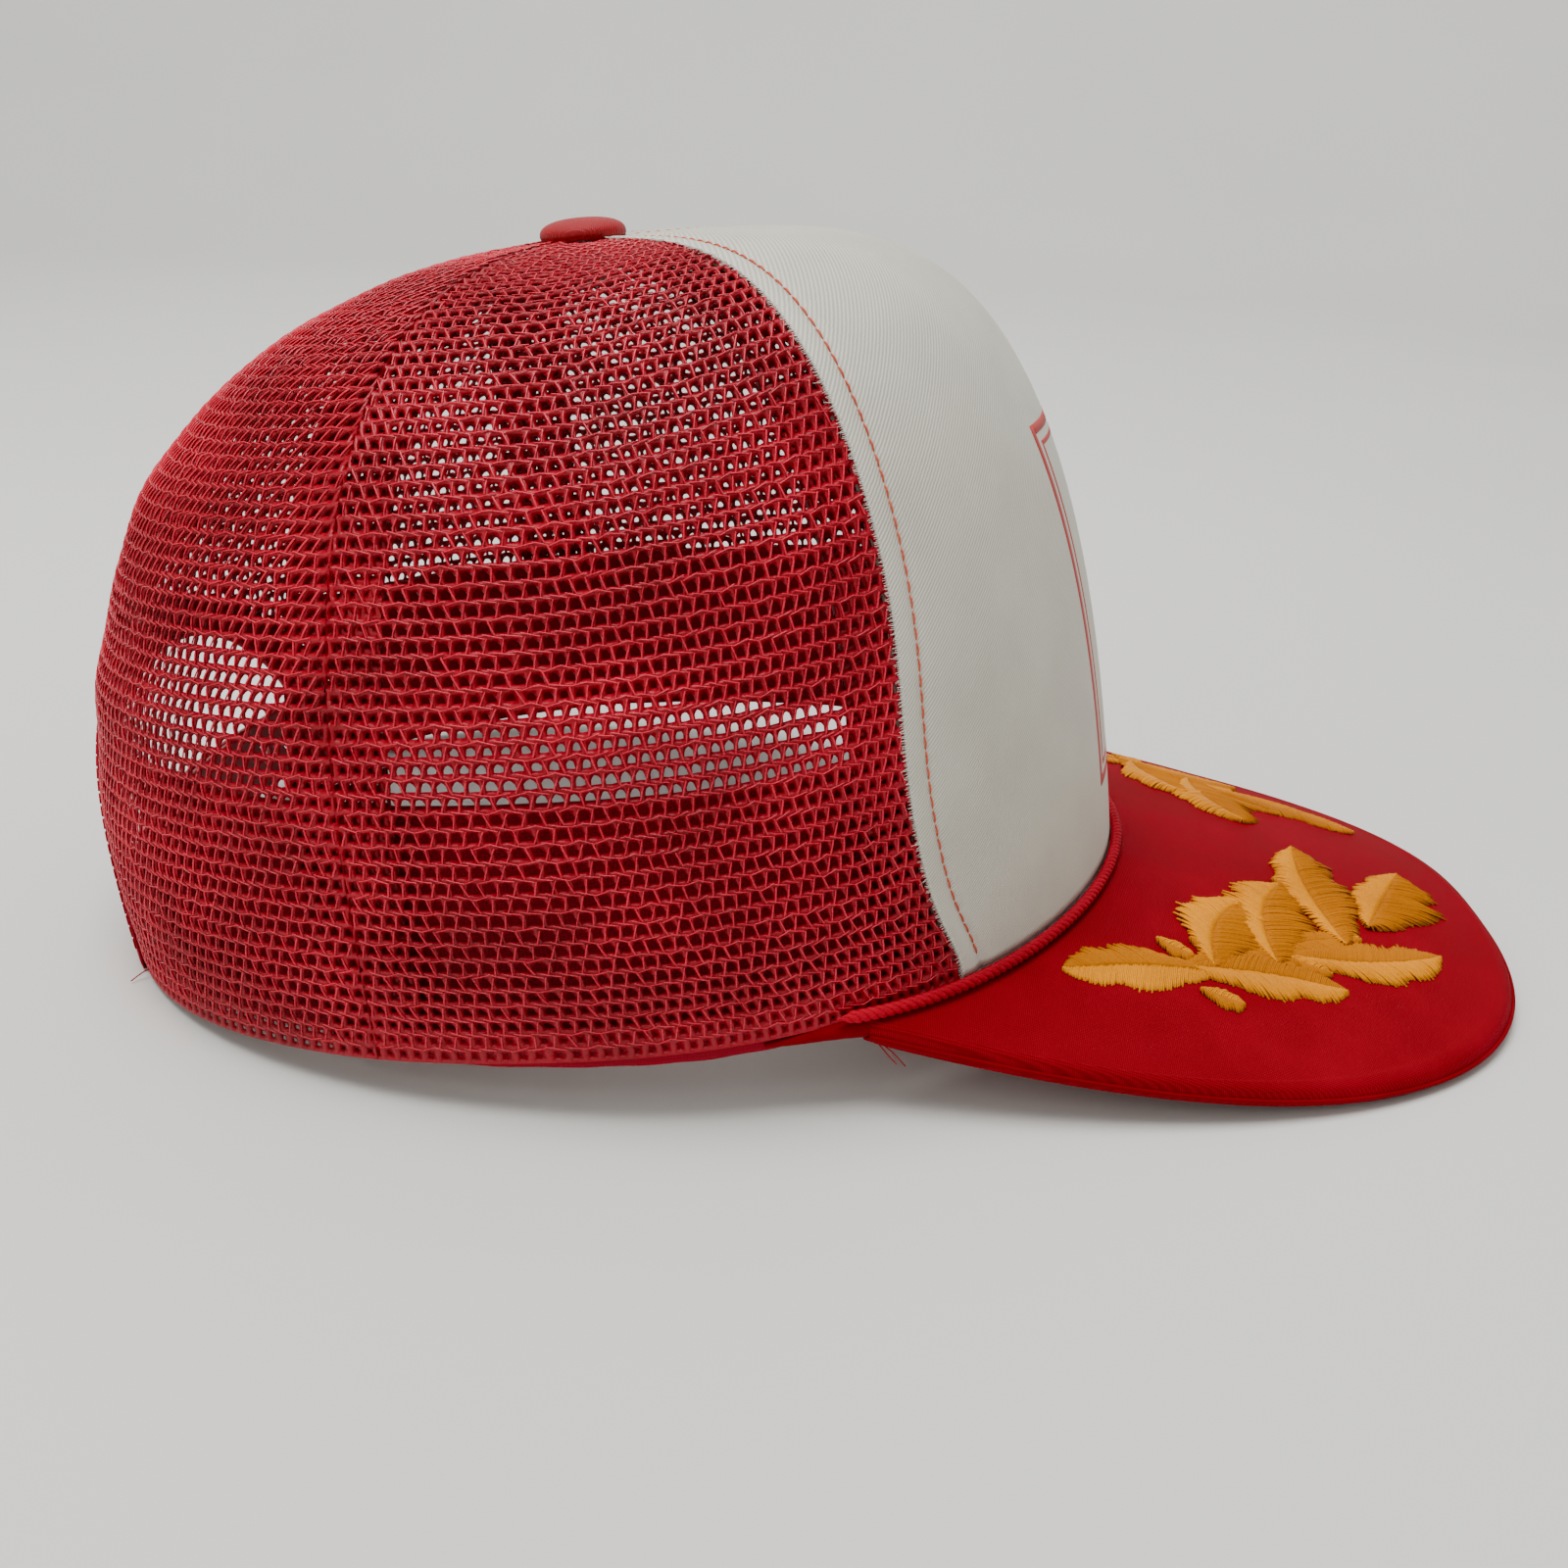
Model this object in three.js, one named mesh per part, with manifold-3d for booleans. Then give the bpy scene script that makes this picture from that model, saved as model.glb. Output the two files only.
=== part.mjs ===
// Trucker mesh cap: foam-backed front panel, four net panels, curved brim, snapback straps.
// Millimetres. +X points out over the brim, +Y to the wearer's left, +Z up.
// The cap is drawn in its own frame, with the hem of the crown in the plane z = 0, and is then
// pitched as a whole so that it stands on the rear of the hem and the edge of the brim.
import * as THREE from 'three';
import { mergeVertices } from 'three/addons/utils/BufferGeometryUtils.js';
import Module from 'manifold-3d';

const wasm = await Module();
wasm.setup();

// ---- driving dimensions ----
const HALF_LENGTH = 98.5;        // crown, at the hem
const HALF_WIDTH = 89;
const CROWN_HEIGHT = 119.5;
const APEX_X = 3;                // the button sits just ahead of the middle
const HEM_POWER = { front: 1.9, rear: 2.45 };
const WALL_POWER = { front: 4.9, side: 2.7, rear: 2.1 };
const ROOF_POWER = { front: 2.5, side: 2.15, rear: 2.75 };
const WALL_LEAN = { front: 0.052, rear: -0.038 };

const BRIM_END_DEG = 61;         // azimuth at which the brim meets the side of the crown
const BRIM_TIP_X = 175.7;
const BRIM_HALF_WIDTH = 79.5;
const BRIM_CENTRE_X = 46.9;
const BRIM_POWER = 2.65;
const BRIM_ROOT_Z = -3.8;        // middle of the brim's thickness, at the front of the crown
const BRIM_SLOPE = 0.316;
const BRIM_ARCH = 0.00215;       // drop per square millimetre from the middle line

const PITCH_DEG = 7.1;            // nose-up tilt of the cap as it stands on a table
const GAP = 0.3;                 // clearance between pieces that touch
const COURSES = 15;              // rows of facets up the crown

const SEAM_FRONT_DEG = 51;       // rear edge of the white front panel
const SEAM_SIDE_DEG = { hem: 105.2, top: 111.7 };
const PANEL_GAP = 0.2;           // half the clearance along a panel's edge
const RIVET_HOLE_RADIUS = 4.2;

// depths below the outer surface of the crown: [outer face, inner face]
const NET_LAYER = [0, -0.9];
const FACE_LAYER = [0, -0.8];
const FOAM_LAYER = [-1.1, -3.9];
const BAND_LAYER = [-1.2, -2.0];
const TAB_LAYER = [-2.3, -3.6];
const PEG_TAB_LAYER = [-3.9, -5.2];
const SWEATBAND_LAYER = [-5.5, -7.1];

const SWEATBAND_HEIGHT = 42;
const SWEATBAND_END_DEG = 146;
const BAND_WIDTH = 15;           // doubled net along a seam
const FRONT_BAND_WIDTH = 9;

const ARCH_HALF_WIDTH = 46;      // rear opening
const ARCH_HEIGHT = 47;
const ARCH_BINDING_WIDTH = 8;
const ARCH_TOP_COURSE = 5;       // first course clear above the binding
const BAND_TOP_COURSE = 13;

const STRAP_RADIUS = 125.6;      // outer face of the strap with holes
const STRAP_CENTRE_X = 28.9;
const STRAP_THICKNESS = 1.3;
const STRAP_Z = [2, 20];
const STRAP_TAB_DEG = [136.5, 153.8];
const TONGUE_HEIGHT = 16;
const HINGE_Y = 43;
const HINGE_GAP = 0.4;
const TONGUE_Y = 25.4;            // how far a tongue passes the middle
const SNAP_PITCH = 9.5;
const SNAP_COUNT = 7;
const HOLE_RADIUS = 2.5;
const PEG_RADIUS = 1.9;
const PEG_LENGTH = 2.1;

const COVER_THICKNESS = 0.7;
const BOARD_THICKNESS = 2.0;
const ROPE_RADIUS = 1.15;
const ROPE_END_DEG = 64;
const BUTTON_RADIUS = 7.8;
const BUTTON_HEIGHT = 3.8;

const COLOURS = {
  net: [0xc8102a, 0.45],
  redCloth: [0xb5122a, 0.8],
  whiteCloth: [0xe4e2d6, 0.75],
  foam: [0xded6bd, 0.95],
  board: [0xe9e7e0, 0.6],
  plastic: [0xc21a2c, 0.35],
  gold: [0xf0a800, 0.5],
  metal: [0xb9bbbd, 0.35],
};

// ---- surfaces ----
const rad = THREE.MathUtils.degToRad;
const mix = THREE.MathUtils.lerp;

function signedPower(value, power) {
  return Math.sign(value) * Math.abs(value) ** power;
}

function hemPoint(azimuth) {
  const cos = Math.cos(azimuth);
  const power = mix(HEM_POWER.front, HEM_POWER.rear, (1 - cos) / 2);
  return new THREE.Vector2(
    HALF_LENGTH * signedPower(cos, 2 / power),
    HALF_WIDTH * signedPower(Math.sin(azimuth), 2 / power),
  );
}

function wallShape(azimuth) {
  const cos = Math.cos(azimuth);
  const front = Math.max(0, cos) ** 1.5;
  const rear = Math.max(0, -cos) ** 1.5;
  const side = 1 - front - rear;
  return {
    wall: front * WALL_POWER.front + side * WALL_POWER.side + rear * WALL_POWER.rear,
    roof: front * ROOF_POWER.front + side * ROOF_POWER.side + rear * ROOF_POWER.rear,
    lean: front * WALL_LEAN.front + rear * WALL_LEAN.rear,
  };
}

// Point on the crown at an azimuth, "climb" radians up its profile (0 at the hem, pi / 2 at the top).
function crownPoint(azimuth, climb) {
  const { wall, roof, lean } = wallShape(azimuth);
  const cos = Math.max(Math.cos(climb), 1e-9);
  const sin = Math.max(Math.sin(climb), 0);
  let low = 0.5;
  let high = 2;
  for (let i = 0; i < 40; i += 1) {
    const middle = (low + high) / 2;
    if ((middle * cos) ** wall + (middle * sin) ** roof > 1) high = middle;
    else low = middle;
  }
  const height = low * sin;
  const reach = low * cos * (1 - lean * height);
  const hem = hemPoint(azimuth);
  return new THREE.Vector3(
    APEX_X + (hem.x - APEX_X) * reach,
    hem.y * reach,
    CROWN_HEIGHT * height,
  );
}

function crownOffset(azimuth, climb, depth) {
  const step = 1e-3;
  const point = crownPoint(azimuth, climb);
  const across = crownPoint(azimuth + step, climb).sub(crownPoint(azimuth - step, climb));
  const up = crownPoint(azimuth, climb + step).sub(crownPoint(azimuth, Math.max(climb - step, 0)));
  return point.addScaledVector(across.cross(up).normalize(), depth);
}

// Climb at which the profile reaches a height in millimetres.
function climbAtHeight(azimuth, z) {
  const { wall, roof } = wallShape(azimuth);
  const height = z / CROWN_HEIGHT;
  const reach = (1 - height ** roof) ** (1 / wall);
  return Math.atan2(height, reach);
}

// Climb at which the profile comes within a radius of the button's axis.
function climbAtRadius(azimuth, radius) {
  const { wall, roof, lean } = wallShape(azimuth);
  const hem = hemPoint(azimuth);
  const reach = radius / Math.hypot(hem.x - APEX_X, hem.y) / (1 - lean);
  const height = (1 - reach ** wall) ** (1 / roof);
  return Math.atan2(height, reach);
}

// Turns a distance along the crown into an angle at that azimuth and climb.
function angleOf(distance, azimuth, climb) {
  const point = crownPoint(azimuth, climb);
  return distance / Math.max(Math.hypot(point.x - APEX_X, point.y), RIVET_HOLE_RADIUS);
}

function frontSeam(climb) {
  const height = Math.sin(climb);
  const swell = 2 * Math.exp(-(((height - 0.3) / 0.18) ** 2));
  const flare = 3 * Math.exp(-((height / 0.1) ** 2));
  return rad(SEAM_FRONT_DEG + swell - flare);
}

function sideSeam(climb) {
  return rad(mix(SEAM_SIDE_DEG.top, SEAM_SIDE_DEG.hem, Math.cos(climb) ** 2));
}

function brimHeight(x, y) {
  return BRIM_ROOT_Z - BRIM_SLOPE * (x - HALF_LENGTH) - BRIM_ARCH * y * y;
}

// Point of the brim: across -1 (right) to 1 (left), out 0 (root) to 1 (edge), lift above the middle.
function brimPoint(across, out, lift) {
  const root = hemPoint(across * rad(BRIM_END_DEG));
  const outward = root.clone().normalize();
  root.addScaledVector(outward, 0.5);
  const turn = across * rad(89.6);
  const edge = new THREE.Vector2(
    BRIM_CENTRE_X + (BRIM_TIP_X - BRIM_CENTRE_X) * signedPower(Math.cos(turn), 2 / BRIM_POWER),
    BRIM_HALF_WIDTH * signedPower(Math.sin(turn), 2 / BRIM_POWER),
  );
  const flat = root.lerp(edge, out);
  return new THREE.Vector3(flat.x, flat.y, brimHeight(flat.x, flat.y) + lift);
}

// ---- solids ----
function signedVolume(positions, indices) {
  const [a, b, c] = [new THREE.Vector3(), new THREE.Vector3(), new THREE.Vector3()];
  let volume = 0;
  for (let i = 0; i < indices.length; i += 3) {
    a.fromArray(positions, indices[i] * 3);
    b.fromArray(positions, indices[i + 1] * 3);
    c.fromArray(positions, indices[i + 2] * 3);
    volume += a.dot(b.cross(c)) / 6;
  }
  return volume;
}

function closedGeometry(positions, indices) {
  if (signedVolume(positions, indices) < 0) {
    for (let i = 0; i < indices.length; i += 3) {
      [indices[i + 1], indices[i + 2]] = [indices[i + 2], indices[i + 1]];
    }
  }
  const geometry = new THREE.BufferGeometry();
  geometry.setAttribute('position', new THREE.Float32BufferAttribute(positions, 3));
  geometry.setIndex(indices);
  return geometry;
}

// A closed shell between two layers of a patch. at(u, v, layer) gives the point; layer is 0 or 1.
function shell(at, columns, rows) {
  const positions = [];
  const indices = [];
  const index = (layer, i, j) => (layer * (rows + 1) + j) * (columns + 1) + i;
  const quad = (a, b, c, d) => indices.push(a, b, c, a, c, d);
  for (let layer = 0; layer < 2; layer += 1) {
    for (let j = 0; j <= rows; j += 1) {
      for (let i = 0; i <= columns; i += 1) {
        positions.push(...at(i / columns, j / rows, layer).toArray());
      }
    }
  }
  for (let j = 0; j < rows; j += 1) {
    for (let i = 0; i < columns; i += 1) {
      quad(index(0, i, j), index(0, i + 1, j), index(0, i + 1, j + 1), index(0, i, j + 1));
      quad(index(1, i, j + 1), index(1, i + 1, j + 1), index(1, i + 1, j), index(1, i, j));
    }
    quad(index(1, 0, j), index(0, 0, j), index(0, 0, j + 1), index(1, 0, j + 1));
    quad(
      index(0, columns, j), index(1, columns, j),
      index(1, columns, j + 1), index(0, columns, j + 1),
    );
  }
  for (let i = 0; i < columns; i += 1) {
    quad(index(0, i, 0), index(1, i, 0), index(1, i + 1, 0), index(0, i + 1, 0));
    quad(index(1, i, rows), index(0, i, rows), index(0, i + 1, rows), index(1, i + 1, rows));
  }
  return closedGeometry(positions, indices);
}

// A shell that follows the crown between two seams. The crown is divided into courses from the hem
// up to the button's hole, and every layer keeps to them, so that the layers nest.
function crownShell(layer, left, right, columns, fromCourse = 0, toCourse = COURSES) {
  return shell((u, v, side) => {
    const guess = mix(left(0.6), right(0.6), u);
    const bottom = climbAtHeight(guess, GAP);
    const top = climbAtRadius(guess, RIVET_HOLE_RADIUS);
    const climb = mix(bottom, top, mix(fromCourse, toCourse, v) / COURSES);
    const from = left(climb);
    const to = right(climb);
    const azimuth = mix(
      from + angleOf(PANEL_GAP, from, climb),
      to - angleOf(PANEL_GAP, to, climb),
      u,
    );
    return crownOffset(azimuth, climb, layer[side]);
  }, columns, toCourse - fromCourse);
}

function toSolid(source) {
  let geometry = source.clone();
  geometry.deleteAttribute('normal');
  geometry.deleteAttribute('uv');
  geometry = mergeVertices(geometry, 1e-5);
  return new wasm.Manifold(new wasm.Mesh({
    numProp: 3,
    vertProperties: new Float32Array(geometry.attributes.position.array),
    triVerts: new Uint32Array(geometry.index.array),
  }));
}

function toGeometry(solid) {
  const mesh = solid.getMesh();
  const geometry = new THREE.BufferGeometry();
  geometry.setAttribute('position', new THREE.Float32BufferAttribute(mesh.vertProperties, 3));
  geometry.setIndex([...mesh.triVerts]);
  return geometry;
}

// ---- the rear opening ----
function archShape(halfWidth, height) {
  const shape = new THREE.Shape();
  shape.moveTo(-halfWidth, -20);
  shape.lineTo(halfWidth, -20);
  shape.lineTo(halfWidth, height - halfWidth * 0.8);
  shape.absellipse(0, height - halfWidth * 0.8, halfWidth, halfWidth * 0.8, 0, Math.PI, false);
  shape.closePath();
  return shape;
}

// The arch as a prism that runs through the rear wall, along X.
function archPrism(halfWidth, height) {
  const geometry = new THREE.ExtrudeGeometry(archShape(halfWidth, height), {
    depth: 100, bevelEnabled: false, curveSegments: 14,
  });
  geometry.rotateX(Math.PI / 2);
  geometry.rotateZ(Math.PI / 2);
  geometry.translate(-140, 0, 0);
  return toSolid(geometry);
}

// ---- crown ----
const mirrored = (seam) => (climb) => -seam(climb);
const centreBack = () => Math.PI;

function frontFace() {
  return crownShell(FACE_LAYER, mirrored(frontSeam), frontSeam, 20);
}

function frontFoam() {
  return crownShell(FOAM_LAYER, mirrored(frontSeam), frontSeam, 20, 0, COURSES - 1);
}

function sideNet() {
  return crownShell(NET_LAYER, frontSeam, sideSeam, 10);
}

function backNet() {
  const panel = toSolid(crownShell(NET_LAYER, sideSeam, centreBack, 12));
  return toGeometry(panel.subtract(archPrism(ARCH_HALF_WIDTH, ARCH_HEIGHT)));
}

function seamBand(seam, forward, rearward) {
  const start = (climb) => seam(climb) - angleOf(forward, seam(climb), climb);
  const end = (climb) => seam(climb) + angleOf(rearward, seam(climb), climb);
  return crownShell(BAND_LAYER, start, end, 2, 0, BAND_TOP_COURSE);
}

function centreBackBand() {
  const start = (climb) => Math.PI - angleOf(BAND_WIDTH / 2, Math.PI, climb);
  const end = (climb) => Math.PI + angleOf(BAND_WIDTH / 2, Math.PI, climb);
  return crownShell(BAND_LAYER, start, end, 2, ARCH_TOP_COURSE, BAND_TOP_COURSE);
}

function archBinding() {
  const start = () => rad(180 - 37);
  const end = () => rad(180 + 37);
  const sheet = crownShell(BAND_LAYER, start, end, 16, 0, ARCH_TOP_COURSE);
  const outer = archPrism(ARCH_HALF_WIDTH + ARCH_BINDING_WIDTH, ARCH_HEIGHT + ARCH_BINDING_WIDTH);
  const ring = outer.subtract(archPrism(ARCH_HALF_WIDTH, ARCH_HEIGHT));
  return toGeometry(toSolid(sheet).intersect(ring));
}

function sweatband() {
  const end = rad(SWEATBAND_END_DEG);
  return shell((u, v, side) => {
    const azimuth = mix(-end, end, u);
    const climb = climbAtHeight(azimuth, mix(GAP, SWEATBAND_HEIGHT, v));
    const point = crownOffset(azimuth, climb, SWEATBAND_LAYER[side]);
    point.z = mix(GAP, SWEATBAND_HEIGHT, v);
    return point;
  }, 44, 2);
}

// ---- brim ----
function brimLayer(low, high, inset) {
  return shell((u, v, side) => {
    const across = mix(-1, 1, u) * (1 - inset);
    const out = mix(inset, 1 - inset, v);
    return brimPoint(across, out, side ? low : high);
  }, 28, 4);
}

function rope() {
  const points = [];
  const count = 28;
  for (let i = 0; i <= count; i += 1) {
    const azimuth = mix(-1, 1, i / count) * rad(ROPE_END_DEG);
    const hem = hemPoint(azimuth);
    hem.addScaledVector(hem.clone().normalize(), ROPE_RADIUS + 0.4);
    const lift = BOARD_THICKNESS / 2 + COVER_THICKNESS + GAP * 2 + ROPE_RADIUS;
    points.push(new THREE.Vector3(hem.x, hem.y, brimHeight(hem.x, hem.y) + lift));
  }
  const section = new THREE.Shape();
  section.absarc(0, 0, ROPE_RADIUS, 0, Math.PI * 2, false);
  return new THREE.ExtrudeGeometry(section, {
    extrudePath: new THREE.CatmullRomCurve3(points), steps: 40, curveSegments: 3,
  });
}

// The embroidered spray on one side of the brim: a thin raised patch along a curved stem.
function embroidery(side) {
  const stem = new THREE.CatmullRomCurve3([
    new THREE.Vector3(85, 57, 0),
    new THREE.Vector3(108, 50, 0),
    new THREE.Vector3(128, 36, 0),
    new THREE.Vector3(147, 21, 0),
    new THREE.Vector3(163, 12, 0),
  ]);
  const base = BOARD_THICKNESS / 2 + COVER_THICKNESS + 2 * GAP;
  return shell((u, v, layer) => {
    const middle = stem.getPoint(u);
    const along = stem.getTangent(u);
    const halfWidth = 2.5 + 9.5 * Math.sin(Math.PI * Math.min(1, u * 0.95 + 0.05)) ** 0.8;
    const across = mix(-halfWidth, halfWidth, v);
    const x = middle.x - along.y * across;
    const y = side * (middle.y + along.x * across);
    return new THREE.Vector3(x, y, brimHeight(x, y) + base + (layer ? 0 : 0.9));
  }, 12, 3);
}

// ---- button ----
function buttonProfile(radius, bottom, top, rimHeight) {
  const points = [];
  const count = 6;
  for (let i = 0; i <= count; i += 1) {
    const turn = (i / count) * (Math.PI / 2);
    points.push(new THREE.Vector2(
      radius * Math.cos(turn),
      bottom + rimHeight + (top - bottom - rimHeight) * Math.sin(turn),
    ));
  }
  points[count].x = 0;
  return points;
}

function onZ(geometry, z) {
  geometry.rotateX(Math.PI / 2);
  geometry.translate(APEX_X, 0, z);
  return geometry;
}

function buttonCover() {
  const outer = buttonProfile(BUTTON_RADIUS, 0, BUTTON_HEIGHT, 1.2);
  const inner = buttonProfile(BUTTON_RADIUS - 0.7, 0, BUTTON_HEIGHT - 0.7, 1.0).reverse();
  const outline = [
    ...inner,
    new THREE.Vector2(BUTTON_RADIUS - 0.7, 0),
    new THREE.Vector2(BUTTON_RADIUS, 0),
    ...outer,
  ];
  return onZ(new THREE.LatheGeometry(outline, 20), CROWN_HEIGHT + GAP);
}

// Pressed metal cap inside the cloth, with the post that goes through the crown.
function buttonShell() {
  const dome = buttonProfile(BUTTON_RADIUS - 1.0, 0, BUTTON_HEIGHT - 1.0, 0.9);
  const outline = [
    new THREE.Vector2(0, -9),
    new THREE.Vector2(1.6, -9),
    new THREE.Vector2(1.6, 0),
    new THREE.Vector2(BUTTON_RADIUS - 1.0, 0),
    ...dome,
  ];
  return onZ(new THREE.LatheGeometry(outline, 20), CROWN_HEIGHT + GAP);
}

function buttonBack() {
  const outline = [
    new THREE.Vector2(1.9, 0),
    new THREE.Vector2(7, 0),
    new THREE.Vector2(7, 0.6),
    new THREE.Vector2(4, 1.6),
    new THREE.Vector2(1.9, 1.6),
    new THREE.Vector2(1.9, 0),
  ];
  return onZ(new THREE.LatheGeometry(outline, 20), CROWN_HEIGHT - 7.2);
}

// ---- snapback straps ----
function strapBand(radius, fromY, toY) {
  const start = Math.asin(fromY / radius);
  const end = Math.asin(toY / radius);
  return shell((u, v, layer) => {
    const turn = mix(start, end, u);
    const reach = radius - (layer ? STRAP_THICKNESS : 0);
    return new THREE.Vector3(
      STRAP_CENTRE_X - reach * Math.cos(turn),
      reach * Math.sin(turn),
      mix(STRAP_Z[0], STRAP_Z[1], v),
    );
  }, 14, 1);
}

// Outline of the moving strap seen along X, from the hinge at "side" to the round end of its tongue.
function tonguePrism(side) {
  const middle = (STRAP_Z[0] + STRAP_Z[1]) / 2;
  const half = TONGUE_HEIGHT / 2;
  const shape = new THREE.Shape();
  shape.moveTo(HINGE_Y + 5, STRAP_Z[0] - 1);
  shape.lineTo(HINGE_Y + 5, STRAP_Z[1] + 1);
  shape.lineTo(HINGE_Y - 4, STRAP_Z[1] + 1);
  shape.lineTo(HINGE_Y - 9, middle + half);
  shape.lineTo(-TONGUE_Y + half, middle + half);
  shape.absarc(-TONGUE_Y + half, middle, half, Math.PI / 2, Math.PI * 1.5, false);
  shape.lineTo(HINGE_Y - 9, middle - half);
  shape.lineTo(HINGE_Y - 4, STRAP_Z[0] - 1);
  shape.closePath();
  const geometry = new THREE.ExtrudeGeometry(shape, {
    depth: 60, bevelEnabled: false, curveSegments: 8,
  });
  geometry.rotateX(Math.PI / 2);
  geometry.rotateZ(Math.PI / 2);
  if (side < 0) geometry.rotateX(Math.PI).translate(0, 0, STRAP_Z[0] + STRAP_Z[1]);
  geometry.translate(-120, 0, 0);
  return toSolid(geometry);
}

// A short cylinder across the straps at snap number i, counted from the middle.
function snapCylinder(radius, i, reachFrom, reachTo) {
  const geometry = new THREE.CylinderGeometry(radius, radius, reachTo - reachFrom, 12);
  geometry.rotateZ(Math.PI / 2);
  geometry.translate(-(reachFrom + reachTo) / 2, 0, 0);
  geometry.rotateZ(-(i * SNAP_PITCH) / STRAP_RADIUS);
  geometry.translate(STRAP_CENTRE_X, 0, (STRAP_Z[0] + STRAP_Z[1]) / 2);
  return toSolid(geometry);
}

const snapSteps = Array.from({ length: SNAP_COUNT }, (_, i) => i - 2);

function holeStrap() {
  let solid = toSolid(strapBand(STRAP_RADIUS, HINGE_Y - HINGE_GAP, -TONGUE_Y - 1));
  solid = solid.intersect(tonguePrism(1));
  for (const step of snapSteps) {
    solid = solid.subtract(snapCylinder(HOLE_RADIUS, step, STRAP_RADIUS - 4, STRAP_RADIUS + 4));
  }
  return toGeometry(solid);
}

function pegStrap() {
  const radius = STRAP_RADIUS - STRAP_THICKNESS - GAP;
  let solid = toSolid(strapBand(radius, -HINGE_Y + HINGE_GAP, TONGUE_Y + 1));
  solid = solid.intersect(tonguePrism(-1));
  for (const step of snapSteps) {
    solid = solid.add(snapCylinder(PEG_RADIUS, -step, radius - 0.6, radius + PEG_LENGTH));
  }
  return toGeometry(solid);
}

// Sewn end of a strap, flat against the crown behind the edge of the opening.
function strapTab(side, layer) {
  const [start, end] = STRAP_TAB_DEG.map(rad);
  return shell((u, v, face) => {
    const azimuth = side * mix(start, end, u);
    const z = mix(STRAP_Z[0], STRAP_Z[1], v);
    const point = crownOffset(azimuth, climbAtHeight(azimuth, z), layer[face]);
    point.z = z;
    return point;
  }, 8, 1);
}

// ---- assembly ----
const cap = new THREE.Group();

function addPiece(name, geometry, colour, metalness = 0) {
  const [color, roughness] = COLOURS[colour];
  const material = new THREE.MeshStandardMaterial({ color, roughness, metalness });
  const mesh = new THREE.Mesh(geometry, material);
  mesh.name = name;
  cap.add(mesh);
}

// The same piece on the wearer's right, as a mirror image with its faces turned back outward.
function mirrorCopy(source) {
  const geometry = source.clone();
  const position = geometry.attributes.position;
  for (let i = 0; i < position.count; i += 1) position.setY(i, -position.getY(i));
  const index = geometry.index;
  for (let i = 0; i < index.count; i += 3) {
    const second = index.getX(i + 1);
    index.setX(i + 1, index.getX(i + 2));
    index.setX(i + 2, second);
  }
  return geometry;
}

function addPair(name, geometry, colour) {
  addPiece(`${name}_left`, geometry, colour);
  addPiece(`${name}_right`, mirrorCopy(geometry), colour);
}

addPiece('front_panel_face', frontFace(), 'whiteCloth');
addPiece('front_panel_foam', frontFoam(), 'foam');
addPair('side_net', sideNet(), 'net');
addPair('back_net', backNet(), 'net');
addPair('front_seam_band', seamBand(frontSeam, -1.2, FRONT_BAND_WIDTH), 'net');
addPair('side_seam_band', seamBand(sideSeam, BAND_WIDTH / 2, BAND_WIDTH / 2), 'net');
addPiece('centre_back_band', centreBackBand(), 'net');
addPiece('arch_binding', archBinding(), 'redCloth');
addPiece('sweatband', sweatband(), 'redCloth');

const boardTop = BOARD_THICKNESS / 2;
const coverBase = boardTop + GAP;
addPiece('brim_top_cover', brimLayer(coverBase, coverBase + COVER_THICKNESS, 0), 'redCloth');
addPiece('brim_board', brimLayer(-boardTop, boardTop, 0.03), 'board');
addPiece('brim_under_cover', brimLayer(-coverBase - COVER_THICKNESS, -coverBase, 0), 'redCloth');
addPiece('brim_rope', rope(), 'redCloth');
addPiece('laurel_left', embroidery(1), 'gold');
addPiece('laurel_right', embroidery(-1), 'gold');

addPiece('button_cover', buttonCover(), 'redCloth');
addPiece('button_shell', buttonShell(), 'metal', 0.8);
addPiece('button_back', buttonBack(), 'metal', 0.8);

addPiece('hole_strap', holeStrap(), 'plastic');
addPiece('hole_strap_tab', strapTab(1, TAB_LAYER), 'plastic');
addPiece('peg_strap', pegStrap(), 'plastic');
addPiece('peg_strap_tab', strapTab(-1, PEG_TAB_LAYER), 'plastic');

// Stand the cap on its hem and brim, with the middle of its base at the origin.
const standing = new THREE.Group();
cap.rotation.y = -rad(PITCH_DEG);
standing.add(cap);
standing.updateMatrixWorld(true);
const bounds = new THREE.Box3().setFromObject(standing, true);
const middle = bounds.getCenter(new THREE.Vector3());
cap.position.set(-middle.x, -middle.y, -bounds.min.z);

export default standing;
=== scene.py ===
import math

import bpy
import numpy as np
from mathutils import Matrix, Vector


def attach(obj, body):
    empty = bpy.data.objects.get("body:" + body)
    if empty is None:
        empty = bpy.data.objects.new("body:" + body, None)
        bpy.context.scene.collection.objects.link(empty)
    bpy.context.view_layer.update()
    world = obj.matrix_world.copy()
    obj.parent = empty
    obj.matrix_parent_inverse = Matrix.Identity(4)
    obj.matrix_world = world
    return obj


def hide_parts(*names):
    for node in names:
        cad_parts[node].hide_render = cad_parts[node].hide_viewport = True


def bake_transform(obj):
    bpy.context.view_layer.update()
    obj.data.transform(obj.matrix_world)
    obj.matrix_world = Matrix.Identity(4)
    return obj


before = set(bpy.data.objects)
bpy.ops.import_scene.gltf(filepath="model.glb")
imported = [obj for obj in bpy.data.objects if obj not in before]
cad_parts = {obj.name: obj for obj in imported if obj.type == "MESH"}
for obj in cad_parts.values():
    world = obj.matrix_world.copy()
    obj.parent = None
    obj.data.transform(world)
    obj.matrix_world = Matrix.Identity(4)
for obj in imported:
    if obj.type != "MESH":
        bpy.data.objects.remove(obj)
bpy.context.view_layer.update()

RNG = np.random.default_rng(7)

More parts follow.
